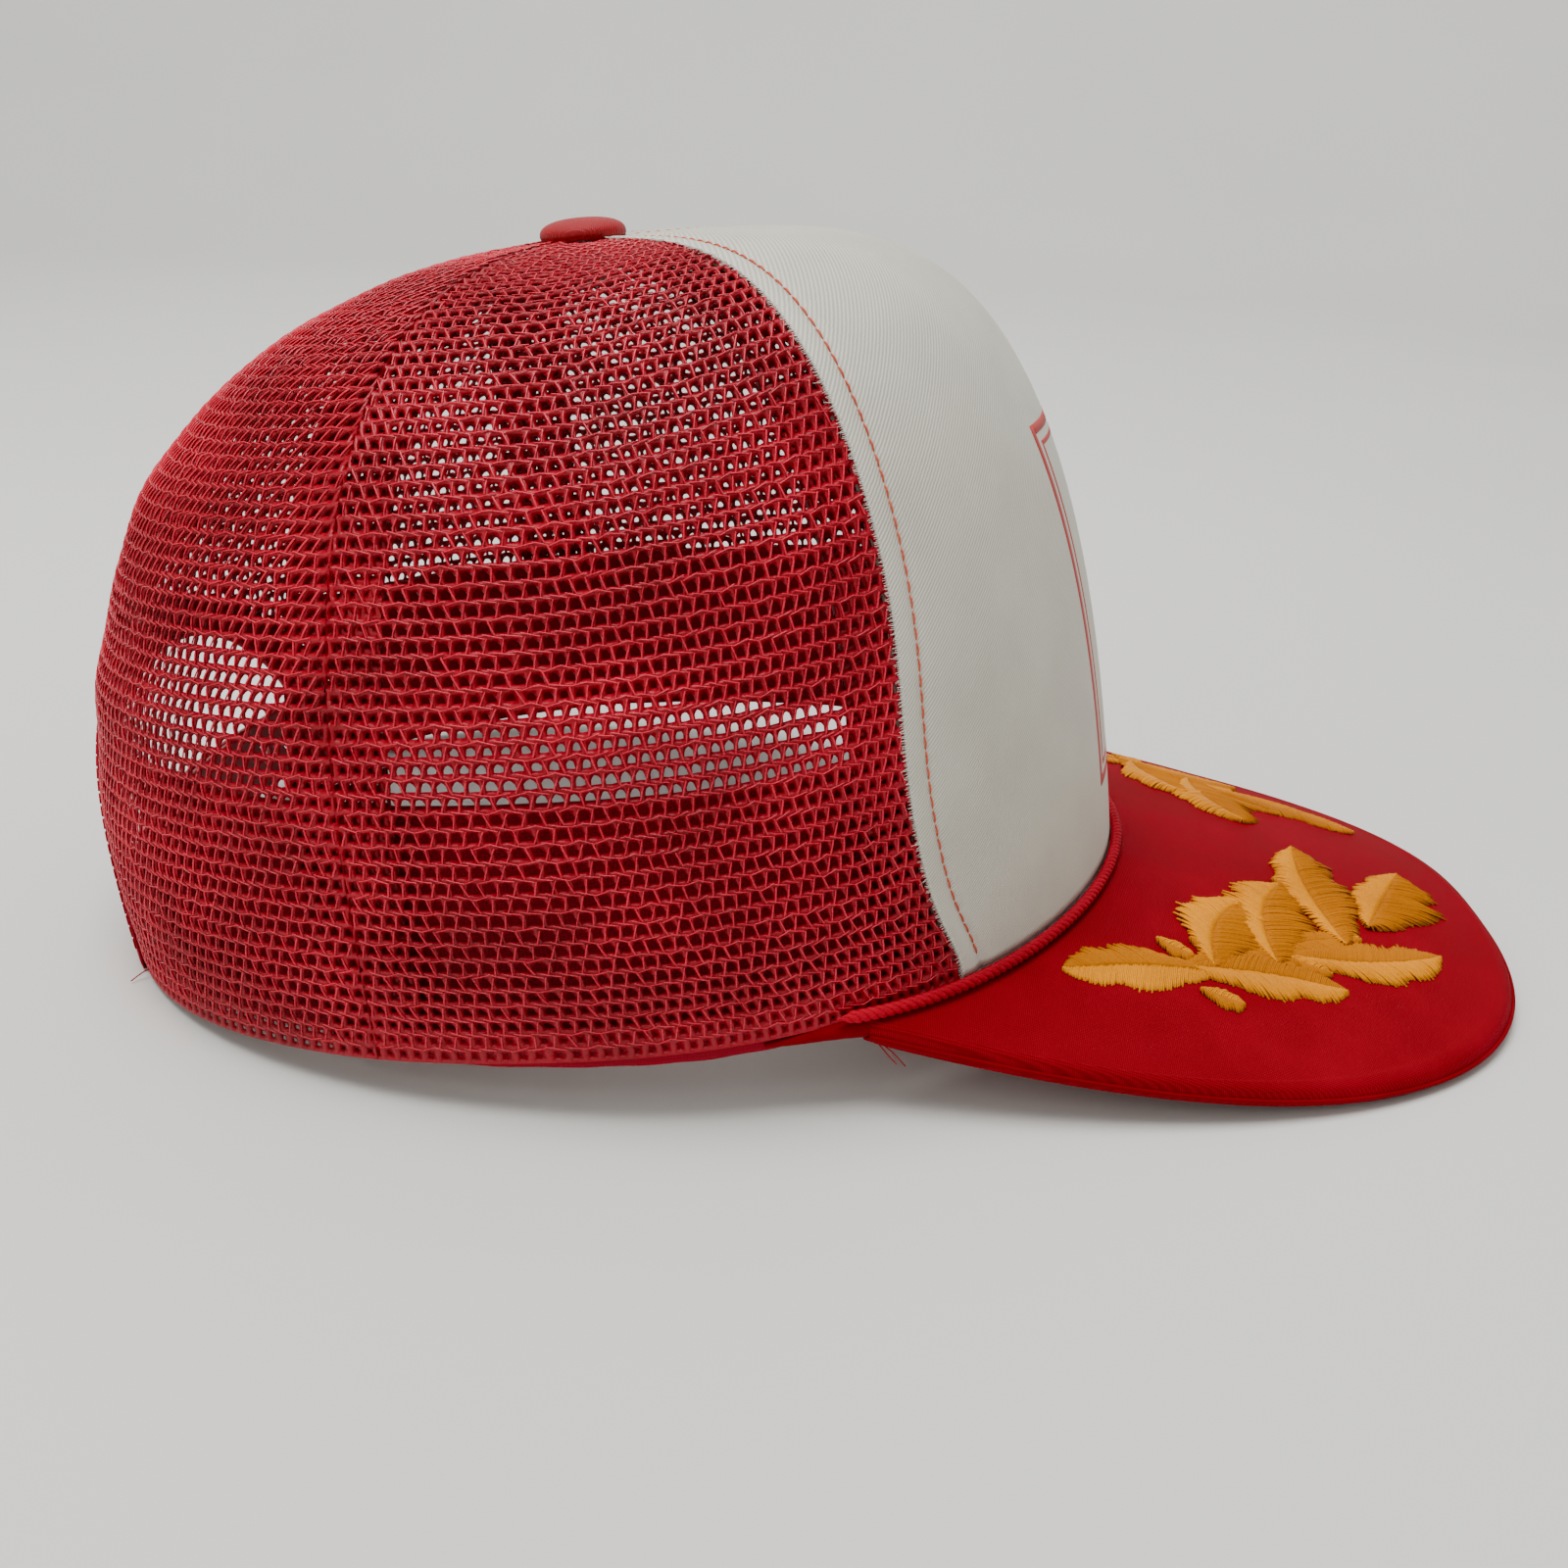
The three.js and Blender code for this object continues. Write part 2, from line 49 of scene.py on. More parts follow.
# ---- the crown and the brim, in the cap's own frame: millimetres, hem in the plane z = 0 ----
HALF_LENGTH, HALF_WIDTH, HEIGHT, APEX = 98.5, 89.0, 119.5, 3.0
TILT = math.radians(7.1)
SHIFT = (-38.4783, 0.0, 10.7751)      # where the cap's frame stands on the floor
SEAM_FRONT = 51.0
BRIM_END = math.radians(61.0)
TIP_X, BRIM_W, BRIM_X, BRIM_N = 175.7, 79.5, 46.9, 2.65
ROOT_Z, SLOPE, ARCH = -3.8, 0.316, 0.00215
ARCH_HALF, ARCH_RISE = 46.0, 36.8     # the rear opening's half width, and its height above ARCH_BASE
ARCH_BASE = 10.2                      # height at which the rear opening starts to round over
SIDES = (("right", -1), ("left", 1))  # the wearer's right is at negative y


def spow(value, power):
    return np.sign(value) * np.abs(value) ** power


def hem(az):
    c = np.cos(az)
    n = 1.9 + 0.55 * (1 - c) / 2
    return HALF_LENGTH * spow(c, 2 / n), HALF_WIDTH * spow(np.sin(az), 2 / n)


def pushed_out(x, y, distance):
    """Places in plan moved straight away from the middle of the hem."""
    k = 1 + distance / np.hypot(x, y)
    return x * k, y * k


def wall(az):
    """Two powers of the crown's profile and its lean, at an azimuth."""
    c = np.cos(az)
    front, rear = np.maximum(0, c) ** 1.5, np.maximum(0, -c) ** 1.5
    side = 1 - front - rear
    return (4.9 * front + 2.7 * side + 2.1 * rear,
            2.5 * front + 2.15 * side + 2.75 * rear,
            0.052 * front - 0.038 * rear)


def crown(az, climb):
    """Point on the crown; climb runs from 0 at the hem to pi / 2 at the top."""
    az, climb = np.broadcast_arrays(np.asarray(az, float), np.asarray(climb, float))
    p, q, lean = wall(az)
    c, s = np.maximum(np.cos(climb), 1e-9), np.maximum(np.sin(climb), 0)
    low, high = np.full(az.shape, 0.5), np.full(az.shape, 2.0)
    for _ in range(34):
        mid = (low + high) / 2
        over = (mid * c) ** p + (mid * s) ** q > 1
        high, low = np.where(over, mid, high), np.where(over, low, mid)
    h = low * s
    reach = low * c * (1 - lean * h)
    x, y = hem(az)
    return np.stack([APEX + (x - APEX) * reach, y * reach, HEIGHT * h], -1)


def crown_out(az, climb, depth):
    """Point at a distance outside the crown's surface, negative inward."""
    e = 1e-3
    point = crown(az, climb)
    across = crown(az + e, climb) - crown(az - e, climb)
    up = crown(az, climb + e) - crown(az, np.maximum(climb - e, 0))
    n = np.cross(across, up)
    n /= np.maximum(np.linalg.norm(n, axis=-1, keepdims=True), 1e-12)
    return point + n * np.asarray(depth)[..., None]


def crown_radius(az, climb):
    """Distance in plan between a point of the crown and the button."""
    point = crown(az, climb)
    return np.hypot(point[..., 0] - APEX, point[..., 1])


def climb_at_z(az, z):
    p, q, _ = wall(az)
    h = np.asarray(z) / HEIGHT
    return np.arctan2(h, (1 - h ** q) ** (1 / p))


def climb_at_radius(az, radius):
    p, q, lean = wall(az)
    x, y = hem(az)
    reach = radius / np.hypot(x - APEX, y) / (1 - lean)
    return np.arctan2((1 - reach ** p) ** (1 / q), reach)


def front_seam(climb):
    h = np.sin(climb)
    return np.radians(SEAM_FRONT + 2 * np.exp(-((h - 0.3) / 0.18) ** 2) - 3 * np.exp(-(h / 0.1) ** 2))


def side_seam(climb):
    return np.radians(111.7 - 6.5 * np.cos(climb) ** 2)


def brim_z(x, y):
    return ROOT_Z - SLOPE * (x - HALF_LENGTH) - ARCH * y * y


def brim_plan(across, out, inset=0.0):
    """Place on the brim; across runs from -1 to 1, out from 0 at the hem to 1 at the edge."""
    x0, y0 = pushed_out(*hem(across * BRIM_END), 0.5)
    turn = across * math.radians(89.6)
    x1 = BRIM_X + (TIP_X - inset - BRIM_X) * spow(np.cos(turn), 2 / BRIM_N)
    y1 = (BRIM_W - inset) * spow(np.sin(turn), 2 / BRIM_N)
    return x0 + (x1 - x0) * out, y0 + (y1 - y0) * out


def to_world(points):
    """The cap's own frame in millimetres to the row frame in metres."""
    points = np.asarray(points, float)
    c, s = math.cos(TILT), math.sin(TILT)
    x, y, z = points[..., 0], points[..., 1], points[..., 2]
    return np.stack([c * x - s * z + SHIFT[0], y, s * x + c * z + SHIFT[2]], -1) / 1000


def turn_world(v):
    c, s = math.cos(TILT), math.sin(TILT)
    return Vector((c * v[0] - s * v[2], v[1], s * v[0] + c * v[2]))


# ---- mesh helpers ----
def make(name, points, faces, mat, uv=None, body="crown", replaces=(), slot=None):
    """A mesh from points in the cap's frame and a list of arrays of faces with 3 or 4 corners."""
    world = to_world(points).reshape(-1, 3)
    faces = [np.asarray(f, np.int64) for f in (faces if isinstance(faces, list) else [faces]) if len(f)]
    kept = []
    for f in faces:
        a, b = world[f[:, 0]], world[f[:, 1]]
        c, d = world[f[:, 2]], world[f[:, -1]]
        area = np.linalg.norm(np.cross(c - a, d - b), axis=1)
        kept.append(f[area > 1e-10])
    mesh = bpy.data.meshes.new(name)
    mesh.vertices.add(len(world))
    mesh.vertices.foreach_set("co", world.astype(np.float32).ravel())
    loops = np.concatenate([f.ravel() for f in kept])
    sizes = np.concatenate([np.full(len(f), f.shape[1]) for f in kept])
    mesh.loops.add(len(loops))
    mesh.loops.foreach_set("vertex_index", loops.astype(np.int32))
    mesh.polygons.add(len(sizes))
    mesh.polygons.foreach_set("loop_start", np.concatenate([[0], np.cumsum(sizes)[:-1]]).astype(np.int32))
    if uv is not None:
        layer = mesh.uv_layers.new(name="UVMap")
        corners = np.asarray(uv, float).reshape(-1, 2)[loops]
        layer.data.foreach_set("uv", corners.astype(np.float32).ravel())
    mesh.update(calc_edges=True)
    mesh.validate()
    mesh.shade_smooth()
    mesh.materials.append(mat)
    obj = bpy.data.objects.new(name, mesh)
    bpy.context.scene.collection.objects.link(obj)
    if replaces:
        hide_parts(*replaces)
    if body:
        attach(obj, body)
    return obj


def grid_faces(nu, nv, base=0, flip=False):
    i, j = np.meshgrid(np.arange(nu), np.arange(nv))
    a = (j * (nu + 1) + i).ravel() + base
    quad = np.stack([a, a + 1, a + nu + 2, a + nu + 1], 1)
    return quad[:, ::-1] if flip else quad


def shell_faces(nu, nv):
    """Faces of a closed shell whose two layers are grids of nu by nv cells, outer layer first."""
    n = (nu + 1) * (nv + 1)
    edge = np.concatenate([
        np.arange(nu),
        nu + (nu + 1) * np.arange(nv),
        (nu + 1) * nv + np.arange(nu, 0, -1),
        (nu + 1) * np.arange(nv, 0, -1),
    ])
    nxt = np.roll(edge, -1)
    wall_quads = np.stack([edge, edge + n, nxt + n, nxt], 1)
    return np.concatenate([grid_faces(nu, nv), grid_faces(nu, nv, n, True), wall_quads])


def tubes(paths, radius, sides=6, taper=None):
    """Tubes along many paths at once. paths is (count, steps, 3); radius a number or (count, steps)."""
    paths = np.asarray(paths, float)
    count, steps, _ = paths.shape
    tangent = np.gradient(paths, axis=1)
    tangent /= np.maximum(np.linalg.norm(tangent, axis=-1, keepdims=True), 1e-9)
    ref = np.zeros_like(tangent)
    ref[..., 2] = 1
    steep = np.abs(tangent[..., 2]) > 0.9
    ref[steep] = (1, 0, 0)
    side = np.cross(tangent, ref)
    side /= np.maximum(np.linalg.norm(side, axis=-1, keepdims=True), 1e-9)
    up = np.cross(side, tangent)
    r = np.broadcast_to(np.asarray(radius, float), (count, steps)).copy()
    if taper is not None:
        r = r * taper[None, :]
    angle = np.arange(sides) * 2 * math.pi / sides
    ring = (side[:, :, None] * np.cos(angle)[None, None, :, None]
            + up[:, :, None] * np.sin(angle)[None, None, :, None])
    points = paths[:, :, None] + ring * r[:, :, None, None]
    a = np.arange(sides)
    b = np.roll(a, -1)
    quad = []
    for k in range(steps - 1):
        quad.append(np.stack([a + k * sides, b + k * sides, b + (k + 1) * sides, a + (k + 1) * sides], 1))
    quad = np.concatenate(quad)
    caps = [np.stack([np.full(sides - 2, o), o + np.arange(1, sides - 1), o + np.arange(2, sides)], 1)
            for o in (0, (steps - 1) * sides)]
    caps[0] = caps[0][:, ::-1]
    caps = np.concatenate(caps)
    offset = (np.arange(count) * steps * sides)[:, None, None]
    return (points.reshape(-1, 3), (quad[None] + offset).reshape(-1, 4), (caps[None] + offset).reshape(-1, 3))


def make_tubes(name, paths, radius, sides, mat, taper=None, plain_uv=False, **how):
    """One piece of closed tubes; plain_uv gives it an empty UV map."""
    points, quads, tris = tubes(paths, radius, sides, taper)
    uv = np.zeros((len(points), 2)) if plain_uv else None
    return make(name, points, [quads, tris], mat, uv=uv, **how)


def make_shell(name, outer, inner, nu, nv, mat, uv=None, **how):
    """One closed shell between two layers of nu by nv cells."""
    both = None if uv is None else np.stack([uv, uv])
    return make(name, np.stack([outer, inner]), shell_faces(nu, nv), mat, uv=both, **how)


# ---- materials ----
def material(name):
    mat = bpy.data.materials.new(name)
    mat.use_nodes = True
    tree = mat.node_tree
    tree.nodes.clear()
    out = tree.nodes.new("ShaderNodeOutputMaterial")
    shader = tree.nodes.new("ShaderNodeBsdfPrincipled")
    tree.links.new(shader.outputs[0], out.inputs[0])
    return mat, tree, shader


def mapped(tree, kind, rotation=(0, 0, 0)):
    coord = tree.nodes.new("ShaderNodeTexCoord")
    mapping = tree.nodes.new("ShaderNodeMapping")
    mapping.inputs["Rotation"].default_value = rotation
    tree.links.new(coord.outputs[kind], mapping.inputs[0])
    return mapping.outputs[0]


def noise(tree, vector, scale, detail=3.0):
    tex = tree.nodes.new("ShaderNodeTexNoise")
    tex.inputs["Scale"].default_value = scale
    tex.inputs["Detail"].default_value = detail
    tree.links.new(vector, tex.inputs["Vector"])
    return tex.outputs["Fac"]


def wave(tree, vector, scale, distortion=0.0, direction="X", detail_scale=1.0):
    tex = tree.nodes.new("ShaderNodeTexWave")
    tex.bands_direction = direction
    tex.inputs["Scale"].default_value = scale
    tex.inputs["Distortion"].default_value = distortion
    tex.inputs["Detail Scale"].default_value = detail_scale
    tree.links.new(vector, tex.inputs["Vector"])
    return tex.outputs["Fac"]


def ramp(tree, value, stops):
    node = tree.nodes.new("ShaderNodeValToRGB")
    while len(node.color_ramp.elements) < len(stops):
        node.color_ramp.elements.new(0.5)
    for element, (place, colour) in zip(node.color_ramp.elements, stops):
        element.position = place
        element.color = (*colour, 1)
    tree.links.new(value, node.inputs[0])
    return node.outputs[0]


def maths(tree, kind, a, b):
    node = tree.nodes.new("ShaderNodeMath")
    node.operation = kind
    for socket, value in zip(node.inputs, (a, b)):
        if isinstance(value, (int, float)):
            socket.default_value = value
        else:
            tree.links.new(value, socket)
    return node.outputs[0]


def blend(tree, a, b, share):
    """A value of a and b with the given share of b."""
    part = maths(tree, "MULTIPLY", a, 1 - share)
    return maths(tree, "ADD", part, maths(tree, "MULTIPLY", b, share))


def roughness(tree, shader, value, spread, least):
    scaled = maths(tree, "MULTIPLY", value, spread)
    tree.links.new(maths(tree, "ADD", scaled, least), shader.inputs["Roughness"])


def bump(tree, shader, height, distance, strength=1.0):
    node = tree.nodes.new("ShaderNodeBump")
    node.inputs["Strength"].default_value = strength
    node.inputs["Distance"].default_value = distance
    tree.links.new(height, node.inputs["Height"])
    tree.links.new(node.outputs[0], shader.inputs["Normal"])


def cloth(name, dark, light, rough, weave=None, twill=None, sheen=0.3, specular=0.5, noise_scale=60):
    """Woven cloth. weave is the thread spacing in mm and twill the diagonal's, both on the UV map."""
    mat, tree, shader = material(name)
    shader.inputs["Sheen Weight"].default_value = sheen
    shader.inputs["Sheen Roughness"].default_value = 0.4
    shader.inputs["Specular IOR Level"].default_value = specular
    obj = mapped(tree, "Object")
    blotch = noise(tree, obj, noise_scale, 4)
    height = None
    # a wave's period is 2 pi / 20 of its scaled coordinate
    if weave:
        uv = mapped(tree, "UV")
        k = math.pi / 10 / weave
        a = wave(tree, uv, k, 0.6, "X", 2.0)
        b = wave(tree, uv, k, 0.6, "Y", 2.0)
        height = maths(tree, "MULTIPLY", a, b)
    if twill:
        turned = mapped(tree, "UV", (0, 0, math.radians(52)))
        height = wave(tree, turned, math.pi / 10 / twill, 1.2, "X", 1.5)
    value, relief, deep = blotch, blotch, 0.0002
    if height is not None:
        value = blend(tree, blotch, height, 0.5)
        relief, deep = height, 0.00012
    tree.links.new(ramp(tree, value, [(0.25, dark), (0.72, light)]), shader.inputs["Base Color"])
    roughness(tree, shader, blotch, 0.16, rough - 0.08)
    bump(tree, shader, relief, deep, 0.55)
    return mat


def yarn(name, dark, light, rough, sheen=0.2, coat=0.0, fibre=2600, specular=0.6):
    """Lustrous filament yarn: fine fibre bump from stretched noise."""
    mat, tree, shader = material(name)
    shader.inputs["Sheen Weight"].default_value = sheen
    shader.inputs["Sheen Roughness"].default_value = 0.3
    shader.inputs["Specular IOR Level"].default_value = specular
    shader.inputs["Coat Weight"].default_value = coat
    shader.inputs["Coat Roughness"].default_value = 0.25
    obj = mapped(tree, "Object")
    fine = noise(tree, obj, fibre, 2)
    broad = noise(tree, obj, 45, 3)
    mixed = blend(tree, fine, broad, 0.55)
    tree.links.new(ramp(tree, mixed, [(0.32, dark), (0.66, light)]), shader.inputs["Base Color"])
    roughness(tree, shader, fine, 0.2, rough - 0.1)
    bump(tree, shader, fine, 0.00008, 0.5)
    return mat


def plastic(name, dark, light, rough, metallic=0.0, bump_scale=900):
    mat, tree, shader = material(name)
    shader.inputs["Metallic"].default_value = metallic
    obj = mapped(tree, "Object")
    broad = noise(tree, obj, 70, 4)
    tree.links.new(ramp(tree, broad, [(0.3, dark), (0.7, light)]), shader.inputs["Base Color"])
    roughness(tree, shader, broad, 0.2, rough - 0.1)
    bump(tree, shader, noise(tree, obj, bump_scale, 2), 0.00004, 0.35)
    return mat


NET = yarn("net_yarn", (0.19, 0.0, 0.006), (0.44, 0.0, 0.018), 0.36, sheen=0.0, specular=0.28)
# the net's red made lighter for the filament threads: painted highlight
FILAMENT_PAINTED_HIGHLIGHT = yarn("net_filament_painted_highlight", (0.4, 0.0, 0.015), (0.85, 0.015, 0.055), 0.28, sheen=0.0, specular=0.45)
NET_BACKED = yarn("net_yarn_doubled", (0.17, 0.0, 0.005), (0.38, 0.0, 0.014), 0.4, sheen=0.0, specular=0.22)
FACE = cloth("white_twill", (0.47, 0.452, 0.385), (0.68, 0.662, 0.58), 0.5, twill=0.5, sheen=0.1,
             specular=0.35)
FRAY = yarn("white_fibre", (0.66, 0.65, 0.57), (0.88, 0.87, 0.8), 0.5, fibre=1500)
FOAM = cloth("foam", (0.62, 0.56, 0.42), (0.8, 0.74, 0.6), 0.9, sheen=0.5, noise_scale=700)
BRIM = cloth("brim_cloth", (0.19, 0.0, 0.005), (0.36, 0.0, 0.015), 0.65, weave=0.34, sheen=0.0, specular=0.03)
BUTTON = cloth("button_cloth", (0.27, 0.004, 0.009), (0.43, 0.014, 0.022), 0.5, weave=0.34, sheen=0.04,
               specular=0.2)
LINING = cloth("band_cloth", (0.25, 0.0, 0.01), (0.4, 0.0, 0.018), 0.7, weave=0.5, sheen=0.0, specular=0.12)
ROPE = yarn("rope_yarn", (0.24, 0.0, 0.008), (0.5, 0.0, 0.02), 0.5, sheen=0.0, specular=0.07)
# one gold thread in two tones: the lighter paints light on it, the darker paints shade
GOLD_PAINTED_LIT = yarn("gold_thread_painted_lit", (0.56, 0.19, 0.0), (0.86, 0.33, 0.0), 0.42, sheen=0.0, specular=0.1)
GOLD_PAINTED_SHADE = yarn("gold_thread_painted_shade", (0.38, 0.115, 0.0), (0.58, 0.19, 0.0), 0.5, sheen=0.0, specular=0.06)
STITCH = yarn("stitch_thread", (0.5, 0.05, 0.02), (0.72, 0.12, 0.06), 0.5, sheen=0.0, specular=0.2)
RED_STITCH = yarn("red_stitch_thread", (0.22, 0.0, 0.004), (0.42, 0.0, 0.01), 0.5, sheen=0.0, specular=0.2)
PRINT = cloth("border_print", (0.4, 0.035, 0.035), (0.54, 0.07, 0.065), 0.5, twill=0.42, sheen=0.0,
              specular=0.15)
PLASTIC = plastic("strap_plastic", (0.26, 0.0, 0.006), (0.36, 0.0, 0.01), 0.36)
BOARD = plastic("brim_board_sheet", (0.7, 0.69, 0.64), (0.8, 0.79, 0.74), 0.55)
METAL = plastic("button_metal", (0.55, 0.55, 0.57), (0.68, 0.68, 0.7), 0.35, metallic=1.0)

# ---- camera ----
LENS, SENSOR = 34.2225, 36.0
AIM, DISTANCE = Vector((31.6, 0, 9.5)), 312.7
BEARING, ELEVATION, ROLL = math.radians(5.48), math.radians(22.78), math.radians(-4.63)
back = Vector((math.sin(BEARING) * math.cos(ELEVATION), -math.cos(BEARING) * math.cos(ELEVATION),
               math.sin(ELEVATION)))
right = (-back).cross(Vector((0, 0, 1))).normalized()
up = right.cross(-back)
right, up = (right * math.cos(ROLL) + up * math.sin(ROLL), up * math.cos(ROLL) - right * math.sin(ROLL))
place = Vector(to_world(np.array(AIM + back * DISTANCE)))
axes = [turn_world(v) for v in (right, up, back)]
camera = bpy.data.objects.new("camera", bpy.data.cameras.new("camera"))
rows = [[*(axis[i] for axis in axes), place[i]] for i in range(3)]
camera.matrix_world = Matrix(rows + [[0, 0, 0, 1]])
camera.data.sensor_width = SENSOR
camera.data.lens = LENS
camera.data.clip_start = 0.01
bpy.context.scene.collection.objects.link(camera)
bpy.context.scene.camera = camera


# ---- net ----
PITCH_X, PITCH_Z = 2.3, 2.67


def wrinkle(u, s, amount):
    """Soft horizontal folds of the net, strongest at mid height."""
    fold = (np.sin(s / 5.2 + 1.3 * u + 0.7) * 0.5 + np.sin(s / 3.1 - 2.1 * u) * 0.28
            + np.sin(s / 9.0 + 2.6 * u + 2.0) * 0.5)
    band = np.exp(-((s - 62) / 26) ** 2) + 0.35
    return -amount * (0.9 + fold) * band * np.cos(np.clip(u, -1, 1) * math.pi / 2) ** 0.5


HOLE = np.array([(-0.40, -0.31), (0.0, -0.33), (0.40, -0.31), (0.37, 0.03),
                 (0.20, 0.27), (-0.03, 0.36), (-0.24, 0.25), (-0.38, 0.02)])
RING = np.array([(-1, -1), (0, -1), (1, -1), (1, 0), (1, 1), (0, 1), (-1, 1), (-1, 0)])


def gore(left, right, from_v=0.0, to_v=1.0):
    """Tables that lay a panel out flat: climb, distance up the middle and width, from hem to button."""
    guess = float((left(0.6) + right(0.6)) / 2)
    bottom, top = float(climb_at_z(guess, 0.3)), float(climb_at_radius(guess, 4.6))
    v = np.linspace(from_v, to_v, 240)
    climb = bottom + (top - bottom) * v
    a, b = left(climb) + 0 * climb, right(climb) + 0 * climb
    line = crown((a + b) / 2, climb)
    s = np.concatenate([[0], np.cumsum(np.linalg.norm(np.diff(line, axis=0), axis=1))])
    k = np.linspace(0, 1, 25)
    rows = crown(a[:, None] + (b - a)[:, None] * k[None], climb[:, None] + 0 * k[None])
    width = np.linalg.norm(np.diff(rows, axis=1), axis=2).sum(1)
    return climb, s, width


def net(name, left, right, depth, mat, replaces, from_v=0.0, to_v=1.0, stagger=0.0, sag=0.0, cut=None,
        thickness=0.34, hole_size=0.9, filaments=True):
    """A net panel with real holes, laid out flat and wrapped onto the crown between two seams."""
    climb_t, s_t, w_t = gore(left, right, from_v, to_v)
    length = s_t[-1]
    rows = int(length / PITCH_Z)
    half = int(w_t.max() / 2 / PITCH_X) + 2
    i, j = np.meshgrid(np.arange(-half, half + 1), np.arange(rows))
    i, j = i.ravel(), j.ravel()
    tc = (i + 0.5 * (j % 2) + stagger) * PITCH_X
    sc = (j + 0.5) * length / rows
    inside = np.abs(tc) < np.interp(sc, s_t, w_t) / 2 + PITCH_X * 0.5
    i, j, tc, sc = i[inside], j[inside], tc[inside], sc[inside]
    n = len(i)
    dz = length / rows
    # shared ring on a lattice of half cells
    kx = (2 * i + (j % 2))[:, None] + RING[None, :, 0]
    kz = (2 * j + 1)[:, None] + RING[None, :, 1]
    key = (kz.astype(np.int64) * 4096 + kx + 2048)
    uniq, inverse = np.unique(key.ravel(), return_inverse=True)
    inverse = inverse.reshape(n, 8)
    lz, lx = uniq // 4096, uniq % 4096 - 2048
    t_ring = (lx / 2 + stagger) * PITCH_X
    s_ring = lz / 2 * dz
    mid_strand = (lz % 2 == 1)
    waver = 0.07 * np.sin(lx * 1.7 + lz * 2.3) + 0.05 * np.sin(lx * 0.9 - lz * 1.1)
    t_ring = t_ring + waver * PITCH_X
    s_ring = s_ring + 0.05 * np.sin(lx * 2.1 + lz) * dz * (lz > 0) * (lz < 2 * rows)
    h_ring = np.where(mid_strand, thickness * 1.25, thickness)
    # hole corners, each cell a little different
    jitter = RNG.uniform(-0.035, 0.035, (n, 8, 2))
    leaning = RNG.uniform(-0.10, 0.10, (n, 1))
    size = hole_size * RNG.uniform(0.9, 1.06, (n, 1))
    bunched = np.clip(np.sin(sc / 7.5 + tc / 60 + 1.1) + 0.6 * np.sin(sc / 4.3 - tc / 35), 0, 1)
    size = size * (1 - 0.28 * bunched)[:, None]
    size = size * np.where(sc < 6.5, 0.46, 1.0)[:, None]
    if filaments:
        # tighter beside the seams
        size = size * np.where(np.interp(sc, s_t, w_t) / 2 - np.abs(tc) < 7.5, 0.8, 1.0)[:, None]
    size = size * np.where(sc > length - 14, 0.8, 1.0)[:, None]
    hx = (HOLE[None, :, 0] + leaning * (HOLE[None, :, 1] + 0.3)) * size + jitter[..., 0]
    hz = HOLE[None, :, 1] * size + jitter[..., 1]
    t_hole = tc[:, None] + hx * PITCH_X
    s_hole = sc[:, None] + hz * dz

    def wrap(t, s, lift):
        w = np.interp(s, s_t, w_t)
        u = np.clip(t / (w / 2), -1, 1)
        climb = np.interp(s, s_t, climb_t)
        az = left(climb) + (right(climb) - left(climb)) * (u + 1) / 2
        sunk = wrinkle(u, s, sag) if sag else 0.0
        return crown_out(az, climb, depth + lift + sunk)

    front = wrap(t_ring, s_ring, h_ring)
    rear = wrap(t_ring, s_ring, -h_ring * 0.9)
    edge = wrap(t_hole, s_hole, 0).reshape(-1, 3)
    points = np.concatenate([front, rear, edge])
    m = len(uniq)
    hole_id = 2 * m + np.arange(8 * n).reshape(n, 8)
    nxt = np.roll(np.arange(8), -1)
    f = np.stack([inverse, inverse[:, nxt], hole_id[:, nxt], hole_id], 2).reshape(-1, 4)
    b = np.stack([inverse + m, hole_id, hole_id[:, nxt], inverse[:, nxt] + m], 2).reshape(-1, 4)
    if cut is not None:
        centre = wrap(tc, sc, 0)
        keep = np.repeat(~cut(centre), 8)
        f, b = f[keep], b[keep]
    make(name + "_knit", points, np.concatenate([f, b]), mat, replaces=replaces, slot="red_net")
    if not filaments:
        return
    # lighter red threads, a painted highlight on the net's yarn: one zigzags down beside each hole, one
    # slants along the bar above it
    lean = (np.where(RNG.uniform(0, 1, n) < 0.72, 1.0, -1.0) * RNG.uniform(0.5, 1.3, n))[:, None]
    k = np.linspace(0, 1, 4)[None]
    beside_t = tc[:, None] + (-0.5 + (0.16 - 0.32 * k) * lean) * PITCH_X
    beside_s = sc[:, None] + (0.40 - 0.84 * k) * dz
    across_t = tc[:, None] + (-0.56 + 1.1 * k) * PITCH_X
    across_s = sc[:, None] + (0.5 + (0.13 - 0.26 * k) * lean) * dz
    tt, ss = np.concatenate([beside_t, across_t]), np.concatenate([beside_s, across_s])
    rise = thickness * 1.3 + 0.12 * np.sin(k * math.pi) + 0 * tt
    ok = np.abs(tt).max(1) < np.interp(ss.mean(1), s_t, w_t) / 2 - 0.4
    ok &= (ss.min(1) > 0.5) & (ss.max(1) < length - 1)
    if cut is not None:
        ok &= ~np.tile(cut(centre), 2)
    line = wrap(tt[ok], ss[ok], rise[ok])
    gauge = np.where(np.arange(len(line)) < ok[:n].sum(), 0.155, 0.10) * RNG.uniform(0.8, 1.2, len(line))
    points, quads, _ = tubes(line, gauge[:, None], 4)
    make(name + "_threads_painted_highlight", points, quads, FILAMENT_PAINTED_HIGHLIGHT, slot="red_net")


def minus(seam):
    return lambda climb: -seam(climb)


def fixed(angle):
    return lambda climb: angle + 0 * climb


